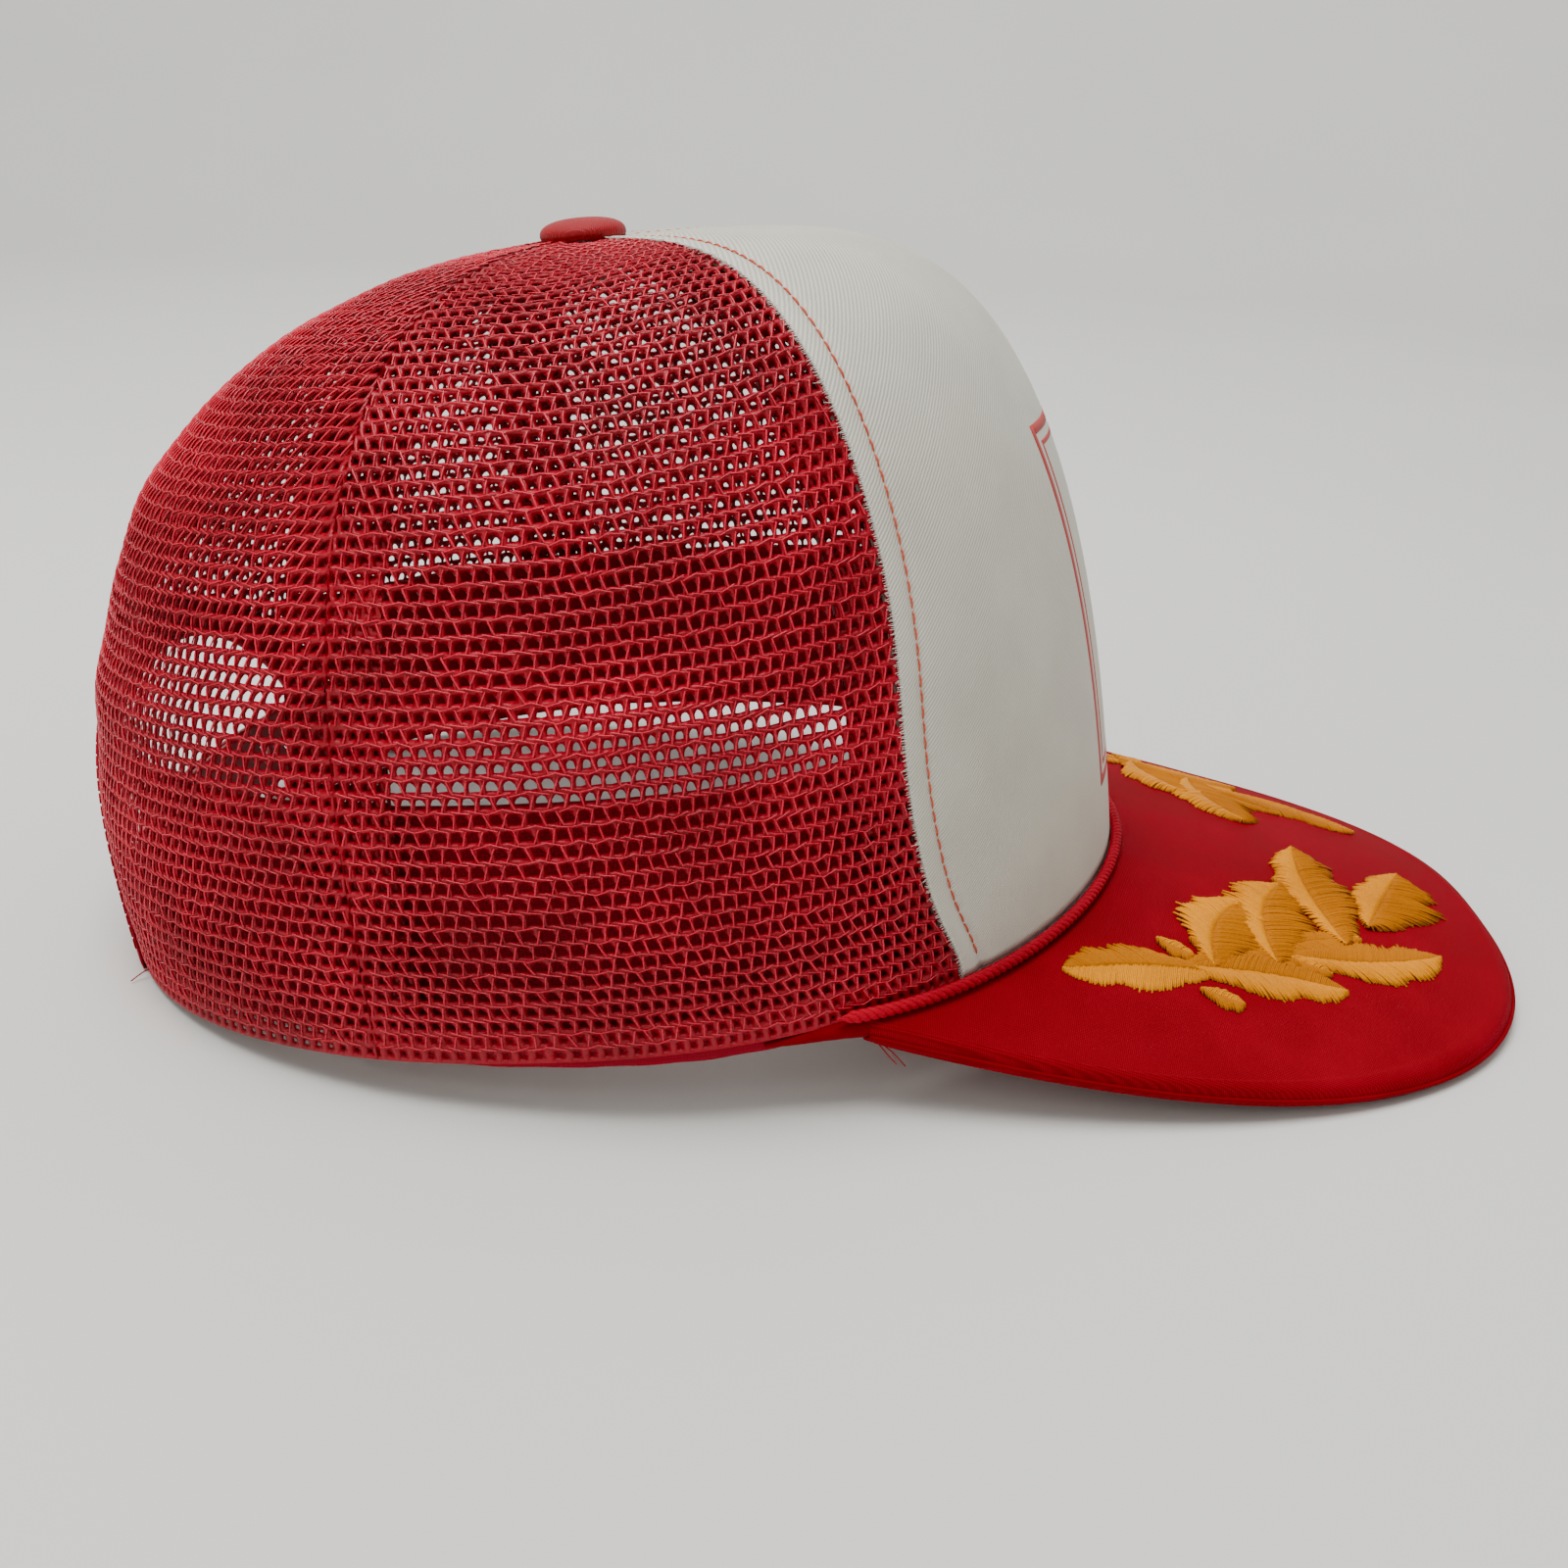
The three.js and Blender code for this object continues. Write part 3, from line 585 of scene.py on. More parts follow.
def in_arch(points, grow=2.0):
    """Whether points of the rear wall lie in the opening above the strap."""
    y, z = points[:, 1], points[:, 2]
    half, rise = ARCH_HALF + grow, ARCH_RISE + grow
    inside = (np.abs(y) < half) & ((z < ARCH_BASE) | ((y / half) ** 2 + ((z - ARCH_BASE) / rise) ** 2 < 1))
    return inside & (points[:, 0] < -40)


def per_mm(distance):
    """Moves a seam sideways by a distance in mm."""
    return lambda seam: (lambda climb: seam(climb) + distance / np.maximum(
        crown_radius(seam(climb), climb), 5.0))


NET_DEPTH, BAND_DEPTH, BAND_HALF = -0.45, -1.55, 7.6
BAND = {"to_v": 0.97, "stagger": 0.35, "filaments": False}
for side, sign in SIDES:
    def limits(a, b, sign=sign):
        return (a, b) if sign > 0 else (minus(b), minus(a))

    net(f"side_net_{side}", *limits(front_seam, side_seam), NET_DEPTH, NET, [f"side_net_{side}"], sag=0.8)
    net(f"back_net_{side}", *limits(side_seam, fixed(math.pi)), NET_DEPTH, NET, [f"back_net_{side}"],
        sag=0.65, cut=in_arch)
    net(f"front_seam_band_{side}", *limits(per_mm(0.4)(front_seam), per_mm(9.0)(front_seam)), BAND_DEPTH,
        NET_BACKED, [f"front_seam_band_{side}"], hole_size=0.62, **BAND)
    net(f"side_seam_band_{side}", *limits(per_mm(-BAND_HALF)(side_seam), per_mm(BAND_HALF)(side_seam)),
        BAND_DEPTH, NET_BACKED, [f"side_seam_band_{side}"], hole_size=0.42, **BAND)
net("centre_back_band", per_mm(-BAND_HALF)(fixed(math.pi)), per_mm(BAND_HALF)(fixed(math.pi)), BAND_DEPTH,
    NET_BACKED, ["centre_back_band"], from_v=0.38, hole_size=0.42, **BAND)

# ---- front panel ----
TOPSTITCH = 4.2                       # mm from the facing's edge to its groove and stitching


def face_axes(nu, nv, gap=0.2):
    """Columns crowd towards the two edges, where the groove and the stitching are."""
    k = np.linspace(-1, 1, nu + 1)
    u = np.sign(k) * (1 - (1 - np.abs(k)) ** 1.25)
    v = np.linspace(0, 1, nv + 1)
    u, v = np.meshgrid(u, v)
    bottom, top = float(climb_at_z(0.0, 0.3)), float(climb_at_radius(0.0, 4.2))
    climb = bottom + (top - bottom) * v
    seam = front_seam(climb)
    radius = crown_radius(seam, climb)
    reach = seam - gap / np.maximum(radius, 4.2)
    return u * reach, climb, (1 - np.abs(u)) * reach * radius


def face_uv(az, climb):
    p = crown(az, climb)
    down = np.concatenate([np.zeros((1, p.shape[1])),
                           np.cumsum(np.linalg.norm(np.diff(p, axis=0), axis=2), axis=0)])
    along = np.concatenate([np.zeros((p.shape[0], 1)),
                            np.cumsum(np.linalg.norm(np.diff(p, axis=1), axis=2), axis=1)], 1)
    along -= along[:, along.shape[1] // 2:along.shape[1] // 2 + 1]
    return np.stack([along, down], -1)


def face_relief(edge, arc):
    groove = -0.42 * np.exp(-((edge - TOPSTITCH) / 0.8) ** 2)
    pucker = 0.07 * np.sin(arc * 2 * math.pi / 2.5) * np.exp(-((edge - TOPSTITCH) / 1.6) ** 2)
    rim = 0.18 * np.exp(-((edge - 1.6) / 1.2) ** 2)
    return groove + pucker + rim


nu, nv = 200, 120
az, climb, edge = face_axes(nu, nv)
uv = face_uv(az, climb)
outer = crown_out(az, climb, face_relief(edge, uv[..., 1]))
make_shell("front_panel_facing", outer, crown_out(az, climb, -0.8), nu, nv, FACE, uv,
           replaces=["front_panel_face"], slot="white_cloth")

# foam behind it, with a soft open surface
nu, nv = 90, 60
az, climb, edge = face_axes(nu, nv, gap=0.8)
climb = climb * 0.955
soft = 0.12 * np.sin(az * 37 + climb * 11) * np.sin(climb * 29 - az * 7)
foam = make_shell("front_panel_foam_pad", crown_out(az, climb, -1.15), crown_out(az, climb, -3.75 + soft),
                  nu, nv, FOAM, replaces=["front_panel_foam"], slot="foam")


def along_edge(inset, step, sign, start=3.0):
    """Points along a line a few millimetres inside the rear edge of the front panel."""
    bottom, top = float(climb_at_z(0.9, 0.3)), float(climb_at_radius(0.9, 4.2))
    climb = np.linspace(bottom, bottom + (top - bottom) * 0.975, 600)
    seam = front_seam(climb)
    radius = np.maximum(crown_radius(seam, climb), 6)
    az = sign * (seam - inset / radius)
    p = crown(az, climb)
    s = np.concatenate([[0], np.cumsum(np.linalg.norm(np.diff(p, axis=0), axis=1))])
    at = np.arange(start, s[-1], step)
    return np.interp(at, s, az), np.interp(at, s, climb)


def stitches(name, az, climb, depth, mat, length=0.82, radius=0.17):
    """Short thread arches between needle holes that follow one another on the crown."""
    k = np.linspace(0, 1, 6)
    a0, a1, c0, c1 = az[:-1], az[1:], climb[:-1], climb[1:]
    mid_a = a0[:, None] + (a1 - a0)[:, None] * (0.5 + (k - 0.5) * length)[None]
    mid_c = c0[:, None] + (c1 - c0)[:, None] * (0.5 + (k - 0.5) * length)[None]
    arches = crown_out(mid_a, mid_c, depth + 0.30 * np.sin(k * math.pi))
    make_tubes(name, arches, radius, 6, mat, slot="red_cloth")


for side, sign in SIDES:
    az, climb = along_edge(TOPSTITCH, 2.5, sign)
    stitches(f"topstitch_{side}", az, climb, -0.38, STITCH)
    # raw edge: loose fibres that stick out over the net
    az, climb = along_edge(0.0, 0.26, sign, start=0.3)
    n = len(az)
    k = np.linspace(0, 1, 5)
    reach = RNG.uniform(0.15, 0.8, n) * (1 + 0.9 * (RNG.random(n) > 0.95))
    slant = RNG.uniform(-0.5, 0.5, n)
    lift = RNG.uniform(-0.05, 0.4, n)
    radius = np.maximum(crown_radius(az, climb), 8)
    fibre_az = az[:, None] + sign * ((k * (reach[:, None] + 1.0) - 1.0) / radius[:, None])
    fibre_climb = climb[:, None] + slant[:, None] * reach[:, None] * k[None] ** 1.5 / 110
    fibres = crown_out(fibre_az, fibre_climb, lift[:, None] * k[None] * 0.6 - 0.02)
    make_tubes(f"frayed_edge_{side}", fibres, 0.065, 4, FRAY, np.linspace(1.2, 0.5, 5), slot="white_cloth")

# generic printed border: two nested rectangles of ink, lying on the facing
INK_HALF, INK_LOW, INK_HIGH = 21.0, 15.0, 84.0


def ink_strip(y0, z0, y1, z1):
    """A rectangle of ink between two lateral distances and two heights on the front panel."""
    nu, nv = max(2, int(abs(y1 - y0) / 0.8)), max(2, int(abs(z1 - z0) / 1.5))
    y, z = np.meshgrid(np.linspace(y0, y1, nu + 1), np.linspace(z0, z1, nv + 1))
    az = y / 90.0
    for _ in range(6):
        az = az - (crown(az, climb_at_z(az, z))[..., 1] - y) / 92.0
    climb = climb_at_z(az, z)
    points = np.stack([crown_out(az, climb, 0.05), crown_out(az, climb, -0.05)]).reshape(-1, 3)
    return points, shell_faces(nu, nv), np.tile(np.stack([y, z], -1).reshape(-1, 2), (2, 1))


pieces = []
for inset, line in ((0.0, 1.7), (3.2, 0.8)):
    h, lo, hi = INK_HALF - inset, INK_LOW + inset, INK_HIGH - inset
    pieces += [(-h, lo, -h + line, hi), (h - line, lo, h, hi),
               (-h + line, lo, h - line, lo + line), (-h + line, hi - line, h - line, hi)]
all_p, all_f, all_uv, base = [], [], [], 0
for box in pieces:
    p, f, w = ink_strip(*box)
    all_p.append(p)
    all_f.append(f + base)
    all_uv.append(w)
    base += len(p)
make("border_print", np.concatenate(all_p), np.concatenate(all_f), PRINT, uv=np.concatenate(all_uv),
     slot="white_cloth")

# ---- sweatband ----
HEAD = 92.0                           # about the hem's mean radius, for lengths along it
nu, nv = 270, 26
end = math.radians(145.6)
u, v = np.meshgrid(np.linspace(-1, 1, nu + 1), np.linspace(0, 1, nv + 1))
az = u * end
z = 0.4 + v * 41.0
climb = climb_at_z(az, z)
belly = (0.35 + 0.12 * np.sin(az * 41)) * np.sin(v * math.pi) + 0.06 * np.sin(az * 97 + v * 5)
hem_line = 0.4 * np.exp(-((v - 0.08) / 0.035) ** 2) + 0.4 * np.exp(-((v - 0.93) / 0.03) ** 2)
outer = crown_out(az, climb, -5.65 - 0.25 * (1 - np.sin(v * math.pi)))
inner = crown_out(az, climb, -6.75 - belly + hem_line)
outer[..., 2] = z
inner[..., 2] = z
uv = np.stack([az * HEAD, z], -1)
band = make_shell("sweatband_cloth", outer, inner, nu, nv, LINING, uv, replaces=["sweatband"],
                  slot="red_cloth")
for label, height in (("low", 3.4), ("high", 38.2)):
    az = np.arange(-end + 0.03, end - 0.03, 2.8 / HEAD)
    stitches(f"sweatband_stitch_{label}", az, climb_at_z(az, height), -7.0, RED_STITCH, radius=0.14)

# ---- tape inside the hem, which shows a little below it beside the brim ----
nu, nv = 90, 8
for side, first, last in (("right", -106, -52), ("left", 52, 106)):
    az, v = np.meshgrid(np.radians(np.linspace(first, last, nu + 1)), np.linspace(0, 1, nv + 1))
    drop = 2.5 * np.clip((math.radians(106) - np.abs(az)) / 0.5, 0, 1) ** 0.6
    z = -drop + v * (2.6 + drop)
    climb = climb_at_z(az, np.maximum(z, 0.3))
    layers = []
    for depth in (-2.3, -2.9):
        layer = crown_out(az, climb, depth + 0.12 * np.sin(az * 60))
        layer[..., 2] = z
        layers.append(layer)
    make_shell(f"hem_tape_{side}", *layers, nu, nv, LINING, np.stack([az * HEAD, z], -1), slot="red_cloth")

# ---- arch binding ----


def rear_point(y, z, depth):
    """A point of the rear wall at a lateral place and height, at a depth below the surface."""
    low, high = np.full(y.shape, math.pi / 2), np.full(y.shape, math.pi)
    target = np.abs(y)
    for _ in range(34):
        mid = (low + high) / 2
        wide = crown(mid, climb_at_z(mid, z))[..., 1] > target
        low, high = np.where(wide, mid, low), np.where(wide, high, mid)
    az = np.where(y < 0, -low, low)
    return crown_out(az, climb_at_z(az, z), depth)


def arch_line(grow, t):
    """The arch's outline: up one side, over the top and down the other, t from 0 to 1."""
    half, rise = ARCH_HALF + grow, ARCH_RISE + grow
    straight = ARCH_BASE - 0.5
    bend = math.pi * math.sqrt((half ** 2 + rise ** 2) / 2)
    total = 2 * straight + bend
    d = t * total
    turn = np.clip((d - straight) / bend, 0, 1) * math.pi
    y = half * np.cos(turn)
    z = np.where(d < straight, 0.5 + d, np.where(d > straight + bend, ARCH_BASE - (d - straight - bend),
                 ARCH_BASE + rise * np.sin(turn)))
    return y, np.maximum(z, 0.5)


steps = 160
# the folded tape's section: distance outside the arch, and depth on the wall
cross = [(7.6, 0.12), (4.0, 0.30), (0.6, 0.34), (-0.35, -0.1), (-0.55, -1.0), (-0.35, -1.9), (0.6, -2.25),
         (4.0, -2.2), (7.6, -2.0), (7.6, -1.6), (4.0, -1.5), (0.9, -1.4), (0.5, -1.0), (0.9, -0.35),
         (4.0, -0.25), (7.6, -0.2)]
t = np.linspace(0, 1, steps + 1)
loops = []
for grow, depth in cross:
    y, z = arch_line(grow, t)
    loops.append(rear_point(y, z, depth))
points = np.stack(loops, 1)
m = len(cross)
a = np.arange(m)
b = np.roll(a, -1)
quads = np.concatenate([np.stack([a + k * m, a + (k + 1) * m, b + (k + 1) * m, b + k * m], 1)
                        for k in range(steps)])
caps = np.concatenate([np.stack([np.full(m - 2, o), o + np.arange(1, m - 1), o + np.arange(2, m)], 1)
                       for o in (0, steps * m)])
uv = np.stack([np.repeat(t, m) * 190, np.tile(np.array([c[0] for c in cross]), steps + 1)], 1)
make("arch_binding_tape", points, [quads, caps], LINING, uv=uv, replaces=["arch_binding"], slot="red_cloth")
y, z = arch_line(6.2, np.linspace(0.02, 0.98, 66))
pts = rear_point(y, z, 0.32)
seg = np.stack([pts[:-1] * (1 - k) + pts[1:] * k for k in np.linspace(0.1, 0.9, 5)], 1)
make_tubes("arch_binding_stitch", seg, 0.15, 6, RED_STITCH, slot="red_cloth")

# ---- brim ----
def brim_sheet(name, sign, replaces):
    """The cloth on the brim's upper (1) or lower (-1) side, rolled over at the edge."""
    nu, nv = 240, 70
    across, out = np.meshgrid(np.linspace(-1, 1, nu + 1), np.linspace(0, 1, nv + 1) ** 0.8)
    x, y = brim_plan(across, out)
    zc = brim_z(x, y)
    x1, y1 = brim_plan(across, 1 + 0 * out)
    edge = np.hypot(x1 - x, y1 - y)
    turn = np.clip(1 - edge / 2.2, 0, 1)
    lift = 1.95 * np.sqrt(np.maximum(1 - turn ** 2.4, 0)) + 0.05
    ripple = 0.05 * np.sin(across * 19) * np.sin(out * 7)
    seam = 0.22 * np.exp(-((edge - 2.9) / 0.55) ** 2)
    surface = lift + (ripple + seam) * (edge > 0.3)
    under = np.maximum(lift - 0.6, 0.02)
    outer = np.stack([x, y, zc + sign * surface], -1)
    inner = np.stack([x, y, zc + sign * under], -1)
    make_shell(name, outer, inner, nu, nv, BRIM, np.stack([x, y], -1), replaces=replaces, slot="red_cloth")


brim_sheet("brim_top_cloth", 1, ["brim_top_cover"])
brim_sheet("brim_under_cloth", -1, ["brim_under_cover"])
# the rolled seam where the two cloths meet round the edge
across = np.linspace(-1, 1, 420)
x, y = brim_plan(across, 1 + 0 * across, inset=-0.1)
path = np.stack([x, y, brim_z(x, y) - 0.15], 1)[None]
make_tubes("brim_edge_seam", path, 0.42, 8, BRIM, plain_uv=True, slot="red_cloth")

# each end of the brim narrows into the hem behind it
k = np.linspace(0, 1, 30)
for side, sign in SIDES:
    x, y = pushed_out(*hem(np.radians(58.6 + 12.5 * k)), 0.5 - 1.9 * k)
    z = brim_z(x, y) * (1 - k) ** 2 - 0.9 * (1 - (1 - k) ** 2) - 0.1
    path = np.stack([x, y * sign, z], 1)[None]
    make_tubes(f"brim_corner_{side}", path, (0.35 + 1.6 * (1 - k) ** 0.8)[None], 12, BRIM, plain_uv=True,
               slot="red_cloth")

# ---- rope ----
ROPE_END, ROPE_LAY = math.radians(64), 4.6
x, y = pushed_out(*hem(np.linspace(-ROPE_END, ROPE_END, 520)), 1.3)
centre = np.stack([x, y, brim_z(x, y) + 3.35], 1)
tangent = np.gradient(centre, axis=0)
tangent /= np.linalg.norm(tangent, axis=1, keepdims=True)
out = np.stack([x / np.hypot(x, y), y / np.hypot(x, y), 0 * x], 1)
out -= tangent * (out * tangent).sum(1, keepdims=True)
out /= np.linalg.norm(out, axis=1, keepdims=True)
upward = np.cross(tangent, out)
arc = np.concatenate([[0], np.cumsum(np.linalg.norm(np.diff(centre, axis=0), axis=1))])
fade = np.clip(np.minimum(arc, arc[-1] - arc) / 3.0, 0.25, 1)
strands = []
for strand in range(3):
    phase = arc * 2 * math.pi / ROPE_LAY + strand * 2 * math.pi / 3
    strands.append(centre + (out * np.cos(phase)[:, None] + upward * np.sin(phase)[:, None])
                   * (0.56 * fade)[:, None])
make_tubes("brim_rope_strands", np.stack(strands), 0.62 * fade[None, :], 8, ROPE, replaces=["brim_rope"],
           slot="red_cloth")

# ---- embroidery ----
# leaves on the wearer's right: base, tip, half width on each side of the midrib, bend, thread height
LEAVES = [
    ((111, -48.5), (83.3, -57.4), 5.4, 5.4, -0.04, 0.65),
    ((106, -49.0), (142.0, -27.0), 4.6, 7.0, 0.03, 0.6),
    ((128, -38.4), (159.0, -26.6), 6.4, 5.6, -0.05, 0.75),
    ((107.5, -48.8), (136.0, -45.4), 6.0, 5.6, 0.05, 0.8),
    ((124, -42.0), (131.0, -13.0), 7.6, 9.8, 0.10, 0.8),
    ((111.5, -47.5), (120.5, -24.6), 7.4, 9.4, 0.10, 0.8),
    ((139.5, -31.0), (138.4, 7.5), 5.8, 10.5, 0.06, 0.9),
    ((146.2, -22.0), (160.5, 6.5), 5.8, 10.5, 0.0, 0.8),
]
# for each leaf, the gold of its two halves: "light" is painted light and "dark" is painted shade
LEAF_PAINTED_LIGHT_AND_SHADE = [("light", "dark"), ("dark", "dark")] + [("dark", "light")] * 2 + [("light", "dark")] * 4
MIDDLE_LEAVES = (6, 7)               # on the wearer's right only: they cross the middle of the brim
MIDDLE_BERRIES = (3, 6)
LEFT_OUTWARD = 6.0
BERRIES = [
    ((101.6, -43.0), (108.0, -45.6), 2.3),
    ((108.1, -40.4), (111.8, -42.4), 1.6),
    ((120.4, -27.6), (124.6, -29.2), 1.7),
    ((130.0, -10.6), (136.4, -14.4), 2.7),
    ((107.6, -54.2), (115.2, -55.6), 2.4),
    ((126.6, -39.0), (134.2, -41.2), 2.2),
    ((136.6, -25.6), (143.4, -27.4), 1.9),
]


def brim_top(x, y):
    return brim_z(x, y) + 2.05


def leaf_threads(base, tip, left, right, bend, height, spacing=0.34):
    """Satin stitches: threads laid side by side, slanting from a midrib to each serrated edge."""
    base, tip = np.array(base, float), np.array(tip, float)
    line = tip - base
    length = np.linalg.norm(line)
    along = line / length
    side = np.array([-along[1], along[0]])
    n = int(length / spacing)
    k = (np.arange(n) + 0.5) / n
    halves = []
    for half, sign in ((left, 1), (right, -1)):
        rib = base + line * k[:, None] + side * (bend * length * np.sin(k * math.pi))[:, None]
        outline = half * np.sin(k ** 0.8 * math.pi) ** 0.72
        notch = 1 - 0.20 * np.abs(np.sin(k * math.pi * 2.4 + 0.4)) ** 6
        ragged = 1 + RNG.uniform(-0.09, 0.07, n) + 0.10 * (RNG.uniform(0, 1, n) > 0.86)
        reach = np.maximum(outline * notch * ragged, 0.5)
        slant = 0.62
        far = rib + side * (sign * reach)[:, None] + along * (reach * slant)[:, None]
        past = ((far - base) @ along) > length
        far[past] = tip + (far[past] - tip) * 0.35
        near = rib - side * (sign * 0.18)
        w = np.linspace(0, 1, 7)
        flat = near[:, None] + (far - near)[:, None] * w[None, :, None]
        hump = height * (0.38 + 0.62 * np.sin((w * 0.86 + 0.10) * math.pi) ** 0.6)
        hump = hump * np.array([0.75, 1, 1, 1, 0.95, 0.7, 0.1])
        z = brim_top(flat[..., 0], flat[..., 1]) + hump[None] + RNG.uniform(-0.11, 0.08, (n, 1))
        halves.append(np.concatenate([flat, z[..., None]], 2))
    return halves


# the lists are for the wearer's right; the left is mirrored, further out and without the middle ones
for side, sign in (("right", 1), ("left", -1)):
    groups = {"light": [], "dark": []}
    pad_points, pad_faces, pad_base = [], [], 0
    lift = 0.0
    outward = np.array([0, 0 if side == "right" else -LEFT_OUTWARD])
    for index, (base, tip, left, right_half, bend, height) in enumerate(LEAVES):
        if side == "left" and index in MIDDLE_LEAVES:
            continue
        base, tip, height = base + outward, tip + outward, height + lift
        for tone, rows in zip(LEAF_PAINTED_LIGHT_AND_SHADE[index], leaf_threads(base, tip, left, right_half, bend, height)):
            groups[tone].append(rows)
        # padding under the stitches, so that no gap shows between threads; it is in the darker gold, painted
        # shade
        for rows in leaf_threads(base, tip, left * 0.9, right_half * 0.9, bend, height * 0.72, spacing=0.9):
            pad_points.append(rows.reshape(-1, 3))
            pad_faces.append(grid_faces(6, len(rows) - 1) + pad_base)
            pad_base += len(rows) * 7
        lift += 0.05
    for index, (base, tip, half) in enumerate(BERRIES):
        if side == "left" and index in MIDDLE_BERRIES:
            continue
        # each berry's first half in the lighter gold and the other in the darker: painted light and shade
        halves = leaf_threads(base + outward, tip + outward, half, half, 0.0, 0.85)
        groups["light"].append(halves[0])
        groups["dark"].append(halves[1])
    # lighter gold for painted light, darker gold for painted shade
    for tone, mat in (("light", GOLD_PAINTED_LIT), ("dark", GOLD_PAINTED_SHADE)):
        paths = np.concatenate(groups[tone])
        paths[..., 1] *= sign
        make_tubes(f"laurel_{side}_{tone}", paths, 0.185, 5, mat, slot="gold_thread",
                   replaces=[f"laurel_{side}"] if tone == "light" else ())
    pads = np.concatenate(pad_points)
    pads[:, 1] *= sign
    make(f"laurel_{side}_padding", pads, np.concatenate(pad_faces), GOLD_PAINTED_SHADE, slot="gold_thread")

# ---- button ----
sides, rings = 96, 30
turn, k = np.meshgrid(np.linspace(0, 2 * math.pi, sides, endpoint=False), np.linspace(0, 1, rings))
phi = k * (math.pi / 2 + 0.42)
radius = 7.9 * np.sin(np.minimum(phi, math.pi / 2)) ** 0.86 - 1.1 * np.maximum(phi - math.pi / 2, 0) ** 1.2
height = 2.9 * np.maximum(np.cos(phi), 0) ** 0.8 + 0.6 - 2.0 * np.maximum(phi - math.pi / 2, 0)
tuck = 0.10 * np.sin(turn * 26) * np.clip((k - 0.72) * 4, 0, 1)
radius = radius + tuck
x, y = radius * np.cos(turn), radius * np.sin(turn)
i = np.arange(sides)
j = np.roll(i, -1)
quads = np.concatenate([np.stack([i + k, i + k + sides, j + k + sides, j + k], 1)
                        for k in range(0, sides * (rings - 1), sides)])
make("button_cloth", np.stack([APEX + x, y, HEIGHT + 0.1 + height], -1), quads, BUTTON,
     uv=np.stack([x, y], -1), replaces=["button_cover"], slot="red_cloth")

# ---- snap straps ----
ARC_X, MID_Z = 28.9, 11.0             # middle of the straps' bend in plan, and their middle height
SEWN_END, FREE_END = 62.5, -25.4      # lateral places of the ends of a half
PLATE, HOLE_RADIUS, SPACING = 1.3, 2.5, 9.5
PLACES = range(-2, 5)                 # of the holes and pegs, counted from the middle of the cap
PEG = [(-0.3, 1.9), (1.5, 1.9), (1.95, 1.75), (2.1, 1.45), (2.15, 0.0)]    # height and radius


def cut_holes(uu, zz, radius, faces):
    """Drops the cells inside each hole, pulls those round it onto its rim and adds the hole's wall."""
    n, cells = uu.size, (uu.shape[0] - 1) * (uu.shape[1] - 1)
    middle = radius * np.sin(np.array(PLACES) * SPACING / radius)
    distance = np.hypot(uu[..., None] - middle, (zz - MID_Z)[..., None])
    middle, distance = middle[distance.argmin(-1)], distance.min(-1)
    inside = (distance < HOLE_RADIUS).ravel()
    grid, edge = faces[:cells], faces[cells * 2:]
    dropped = inside[grid].any(1)
    border = np.zeros(n, bool)
    border[grid[dropped].ravel()] = True
    border &= ~inside
    pull = np.where(border.reshape(uu.shape), HOLE_RADIUS / np.maximum(distance, 1e-6), 1.0)
    kept = grid[~dropped]
    rim = [(p, q) for quad in kept for p, q in zip(quad, np.roll(quad, -1)) if border[p] and border[q]]
    known = set(rim)
    walls = np.array([(q, p, p + n, q + n) for p, q in rim if (q, p) not in known])
    return (middle + (uu - middle) * pull, MID_Z + (zz - MID_Z) * pull,
            np.concatenate([kept, kept[:, ::-1] + n, edge, walls]))


def pegs(radius, base):
    """Points and faces of the pegs, which stand outward on the strap's bend."""
    sides = 20
    w = np.linspace(0, 2 * math.pi, sides, endpoint=False)[:, None]
    a = np.arange(sides)
    b = np.roll(a, -1)
    points, faces = [], []
    for place in PLACES:
        angle = place * SPACING / (radius + 1.6)
        outward = np.array([-math.cos(angle), math.sin(angle), 0])
        along = np.array([math.sin(angle), math.cos(angle), 0])
        for ring, (height, wide) in enumerate(PEG):
            middle = np.array([ARC_X, 0, MID_Z]) + outward * (radius + height)
            points.append(middle + wide * (np.cos(w) * along + np.sin(w) * np.array([0, 0, 1.0])))
            if ring:
                faces.append(np.stack([a, b, b + sides, a + sides], 1) + base + (ring - 1) * sides)
        base += sides * len(PEG)
    return np.concatenate(points), np.concatenate(faces)


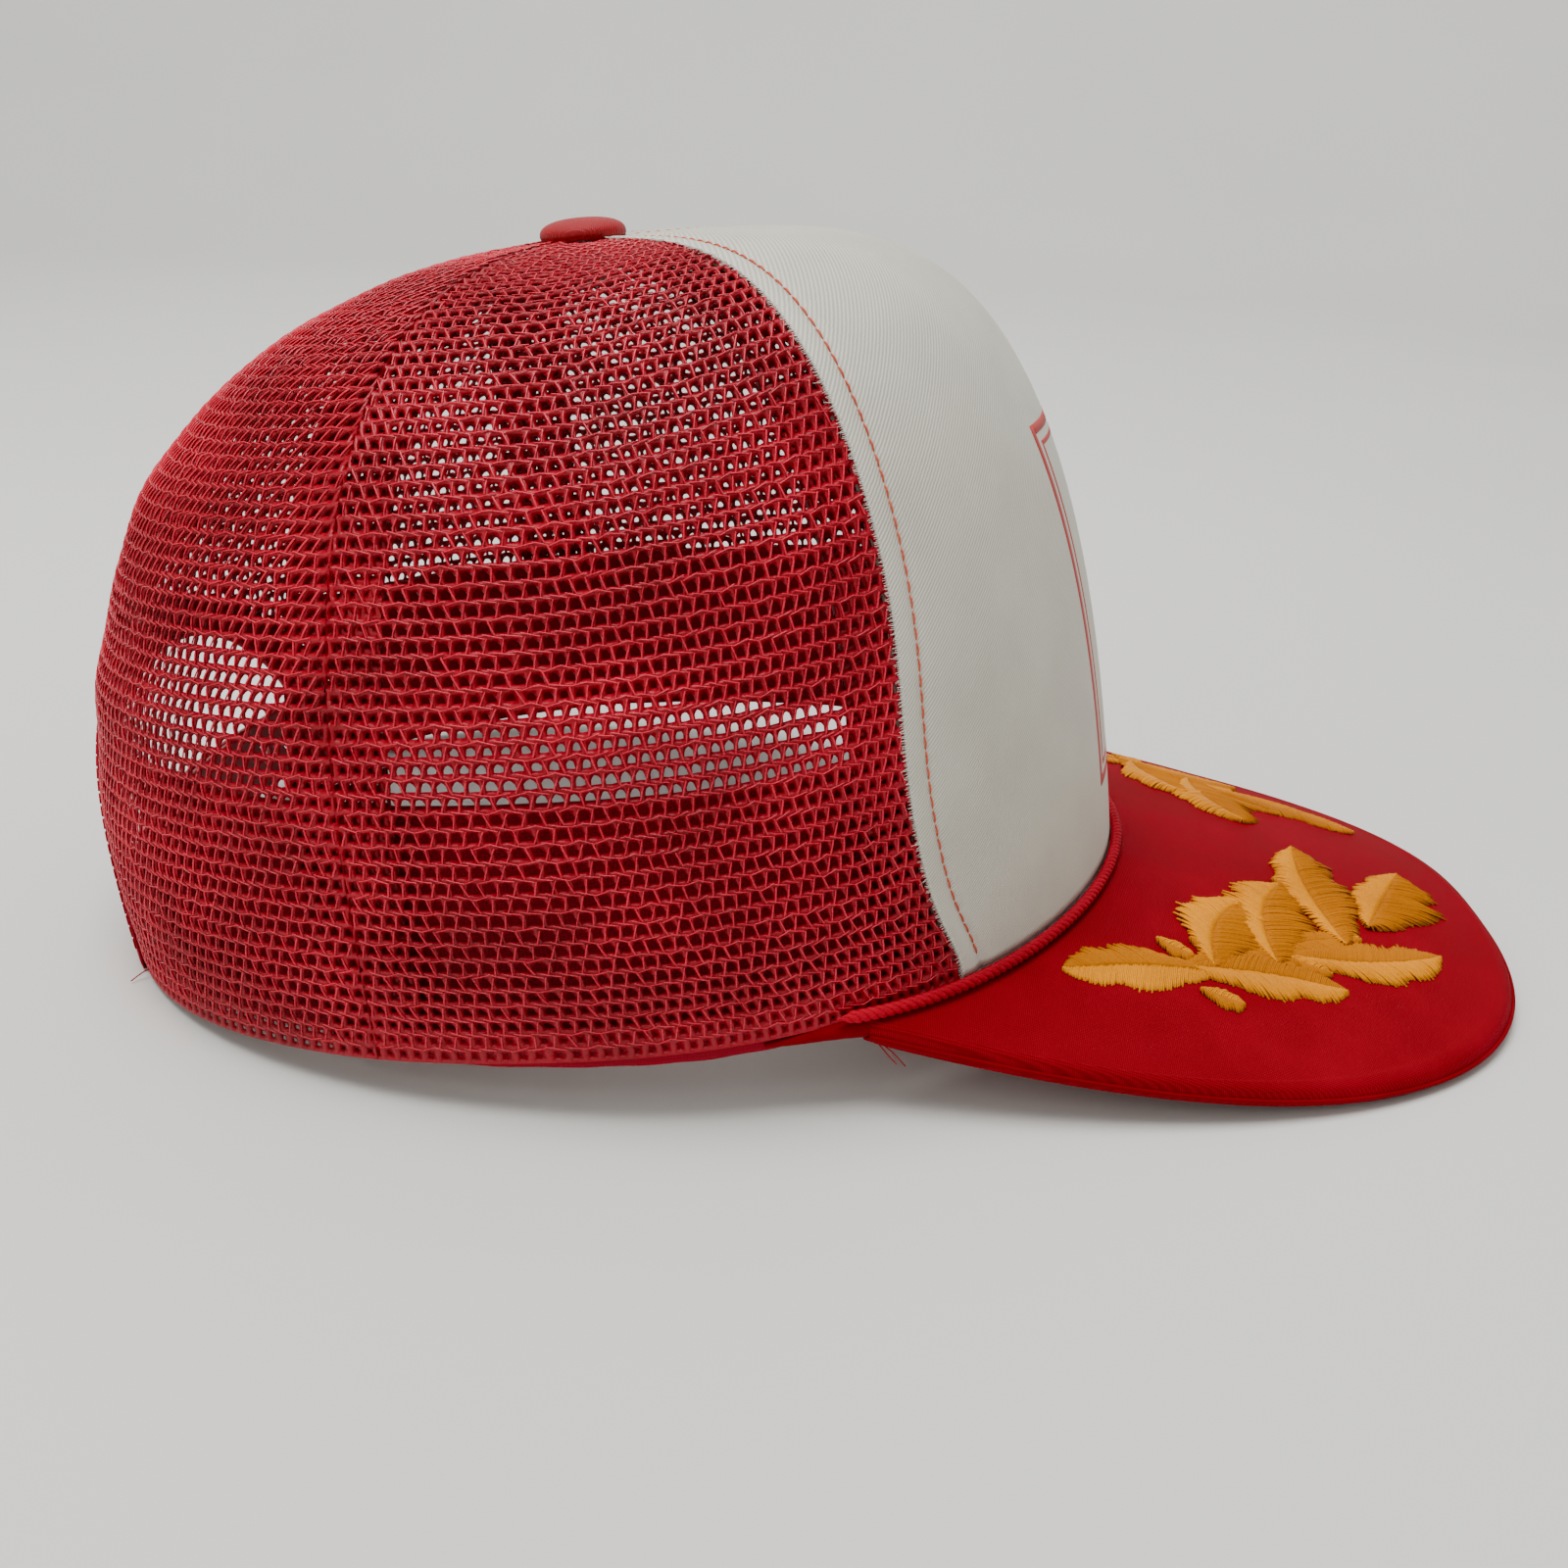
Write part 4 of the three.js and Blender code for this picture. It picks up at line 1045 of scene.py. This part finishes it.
def strap(name, side, radius, tab_depth, holes, replaces):
    """Half of the snap strap with its sewn tab: a plate of plastic bent round the rear of the cap."""
    nu, nv = 220, 44
    uu, vv = np.meshgrid(np.linspace(SEWN_END, FREE_END, nu + 1), np.linspace(-1, 1, nv + 1))
    half = np.interp(uu, [34, 40], [8.0, 9.0])
    rounded = np.sqrt(1 - np.clip((FREE_END + 8.0 - uu) / 8.0, 0, 1) ** 2)
    zz = MID_Z + vv * half * rounded
    soft = 0.16 * (1 - np.minimum((1 - np.abs(vv)) * 19.8, 1.0))

    def bend(y, z, depth_in):
        plan = ARC_X - np.sqrt(np.maximum((radius - depth_in) ** 2 - y ** 2, 1))
        tab = rear_point(np.maximum(y, 30.0), z, tab_depth - depth_in)
        tab[..., 2] = z
        w = np.clip((y - 40.5) / 5.0, 0, 1)[..., None]
        w = w * w * (3 - 2 * w)
        return (np.stack([plan, y, z], -1) * (1 - w) + tab * w).reshape(-1, 3)

    faces = shell_faces(nu, nv)
    if holes:
        uu, zz, faces = cut_holes(uu, zz, radius, faces)
    points = np.concatenate([bend(uu, zz, soft), bend(uu, zz, PLATE - soft)])
    if not holes:
        peg_points, peg_faces = pegs(radius, len(points))
        points, faces = np.concatenate([points, peg_points]), np.concatenate([faces, peg_faces])
    points[:, 1] *= side
    if side < 0:
        faces = faces[:, ::-1]
    obj = make(name, points, faces, PLASTIC, body=None, replaces=replaces, slot="red_plastic")
    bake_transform(obj)


strap("hole_strap_plate", 1, 125.6, -2.3, True, ["hole_strap", "hole_strap_tab"])
strap("peg_strap_plate", -1, 124.0, -3.9, False, ["peg_strap", "peg_strap_tab"])

# ---- loose thread ends ----
tails = [
    [(49.5, -77.4, -2.4), (51.2, -78.4, -4.4), (52.6, -78.9, -6.2), (54.0, -79.3, -7.8)],
    [(50.2, -77.4, -2.4), (51.4, -78.2, -4.2), (53.4, -78.7, -5.8), (55.4, -79.0, -8.4)],
    [(-82.4, -54.5, 1.6), (-84.2, -56.0, 1.1), (-85.2, -56.8, 0.6), (-85.7, -57.9, 0.4)],
]
curves = []
for tail in tails:
    tail = np.array(tail)
    k = np.linspace(0, 1, 12)
    curves.append(np.stack([np.interp(k, np.linspace(0, 1, 4), tail[:, c]) for c in range(3)], 1))
make_tubes("thread_ends", np.stack(curves), 0.12, 5, RED_STITCH, slot="red_cloth")

# ---- CAD pieces that stay ----
for node, mat in (("brim_board", BOARD), ("button_shell", METAL), ("button_back", METAL)):
    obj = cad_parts[node]
    obj.data.materials.clear()
    obj.data.materials.append(mat)

# ---- floor and light ----
mat, tree, shader = material("floor_paint")
grain = noise(tree, mapped(tree, "Object"), 3.0, 2)
tree.links.new(ramp(tree, grain, [(0.3, (0.71, 0.71, 0.69)), (0.7, (0.74, 0.74, 0.715))]),
               shader.inputs["Base Color"])
shader.inputs["Roughness"].default_value = 0.75
spokes = 72
profile = [(0.0, 0.0), (0.6, 0.0), (1.6, 0.0)]
profile += [(1.6 + 0.9 * math.sin(w), 0.9 - 0.9 * math.cos(w)) for w in np.linspace(0.12, math.pi / 2, 14)]
profile += [(2.5, 2.2)]
verts, quads = [], []
for reach, height in profile:
    for k in range(spokes):
        w = k * 2 * math.pi / spokes
        verts.append((reach * math.cos(w), reach * math.sin(w), height))
for j in range(len(profile) - 1):
    for k in range(spokes):
        a, b = j * spokes + k, j * spokes + (k + 1) % spokes
        quads.append((a, b, b + spokes, a + spokes))
floor_mesh = bpy.data.meshes.new("floor")
floor_mesh.from_pydata(verts, [], quads)
floor_mesh.shade_smooth()
floor_mesh.materials.append(mat)
floor = bpy.data.objects.new("floor", floor_mesh)
bpy.context.scene.collection.objects.link(floor)

world = bpy.data.worlds.new("studio")
bpy.context.scene.world = world
world.use_nodes = True
world.node_tree.nodes["Background"].inputs[0].default_value = (1.0, 0.995, 0.97, 1)
world.node_tree.nodes["Background"].inputs[1].default_value = 0.55


def lamp(name, place, target, size, power, colour=(1, 1, 1)):
    data = bpy.data.lights.new(name, "AREA")
    data.shape = "RECTANGLE"
    data.size, data.size_y = size
    data.energy = power
    data.color = colour
    obj = bpy.data.objects.new(name, data)
    obj.location = place
    obj.rotation_euler = (Vector(target) - Vector(place)).to_track_quat("-Z", "Y").to_euler()
    bpy.context.scene.collection.objects.link(obj)


lamp("key", (-0.25, -0.1, 1.3), (0, 0, 0.05), (0.8, 0.8), 21, (1.0, 0.99, 0.965))
lamp("fill", (-1.1, -0.9, 0.7), (0, 0, 0.08), (0.8, 0.8), 4, (1.0, 0.99, 0.97))
lamp("wall", (0.0, 0.9, 1.9), (0.0, 2.4, 0.9), (2.0, 0.6), 26, (1.0, 0.99, 0.97))
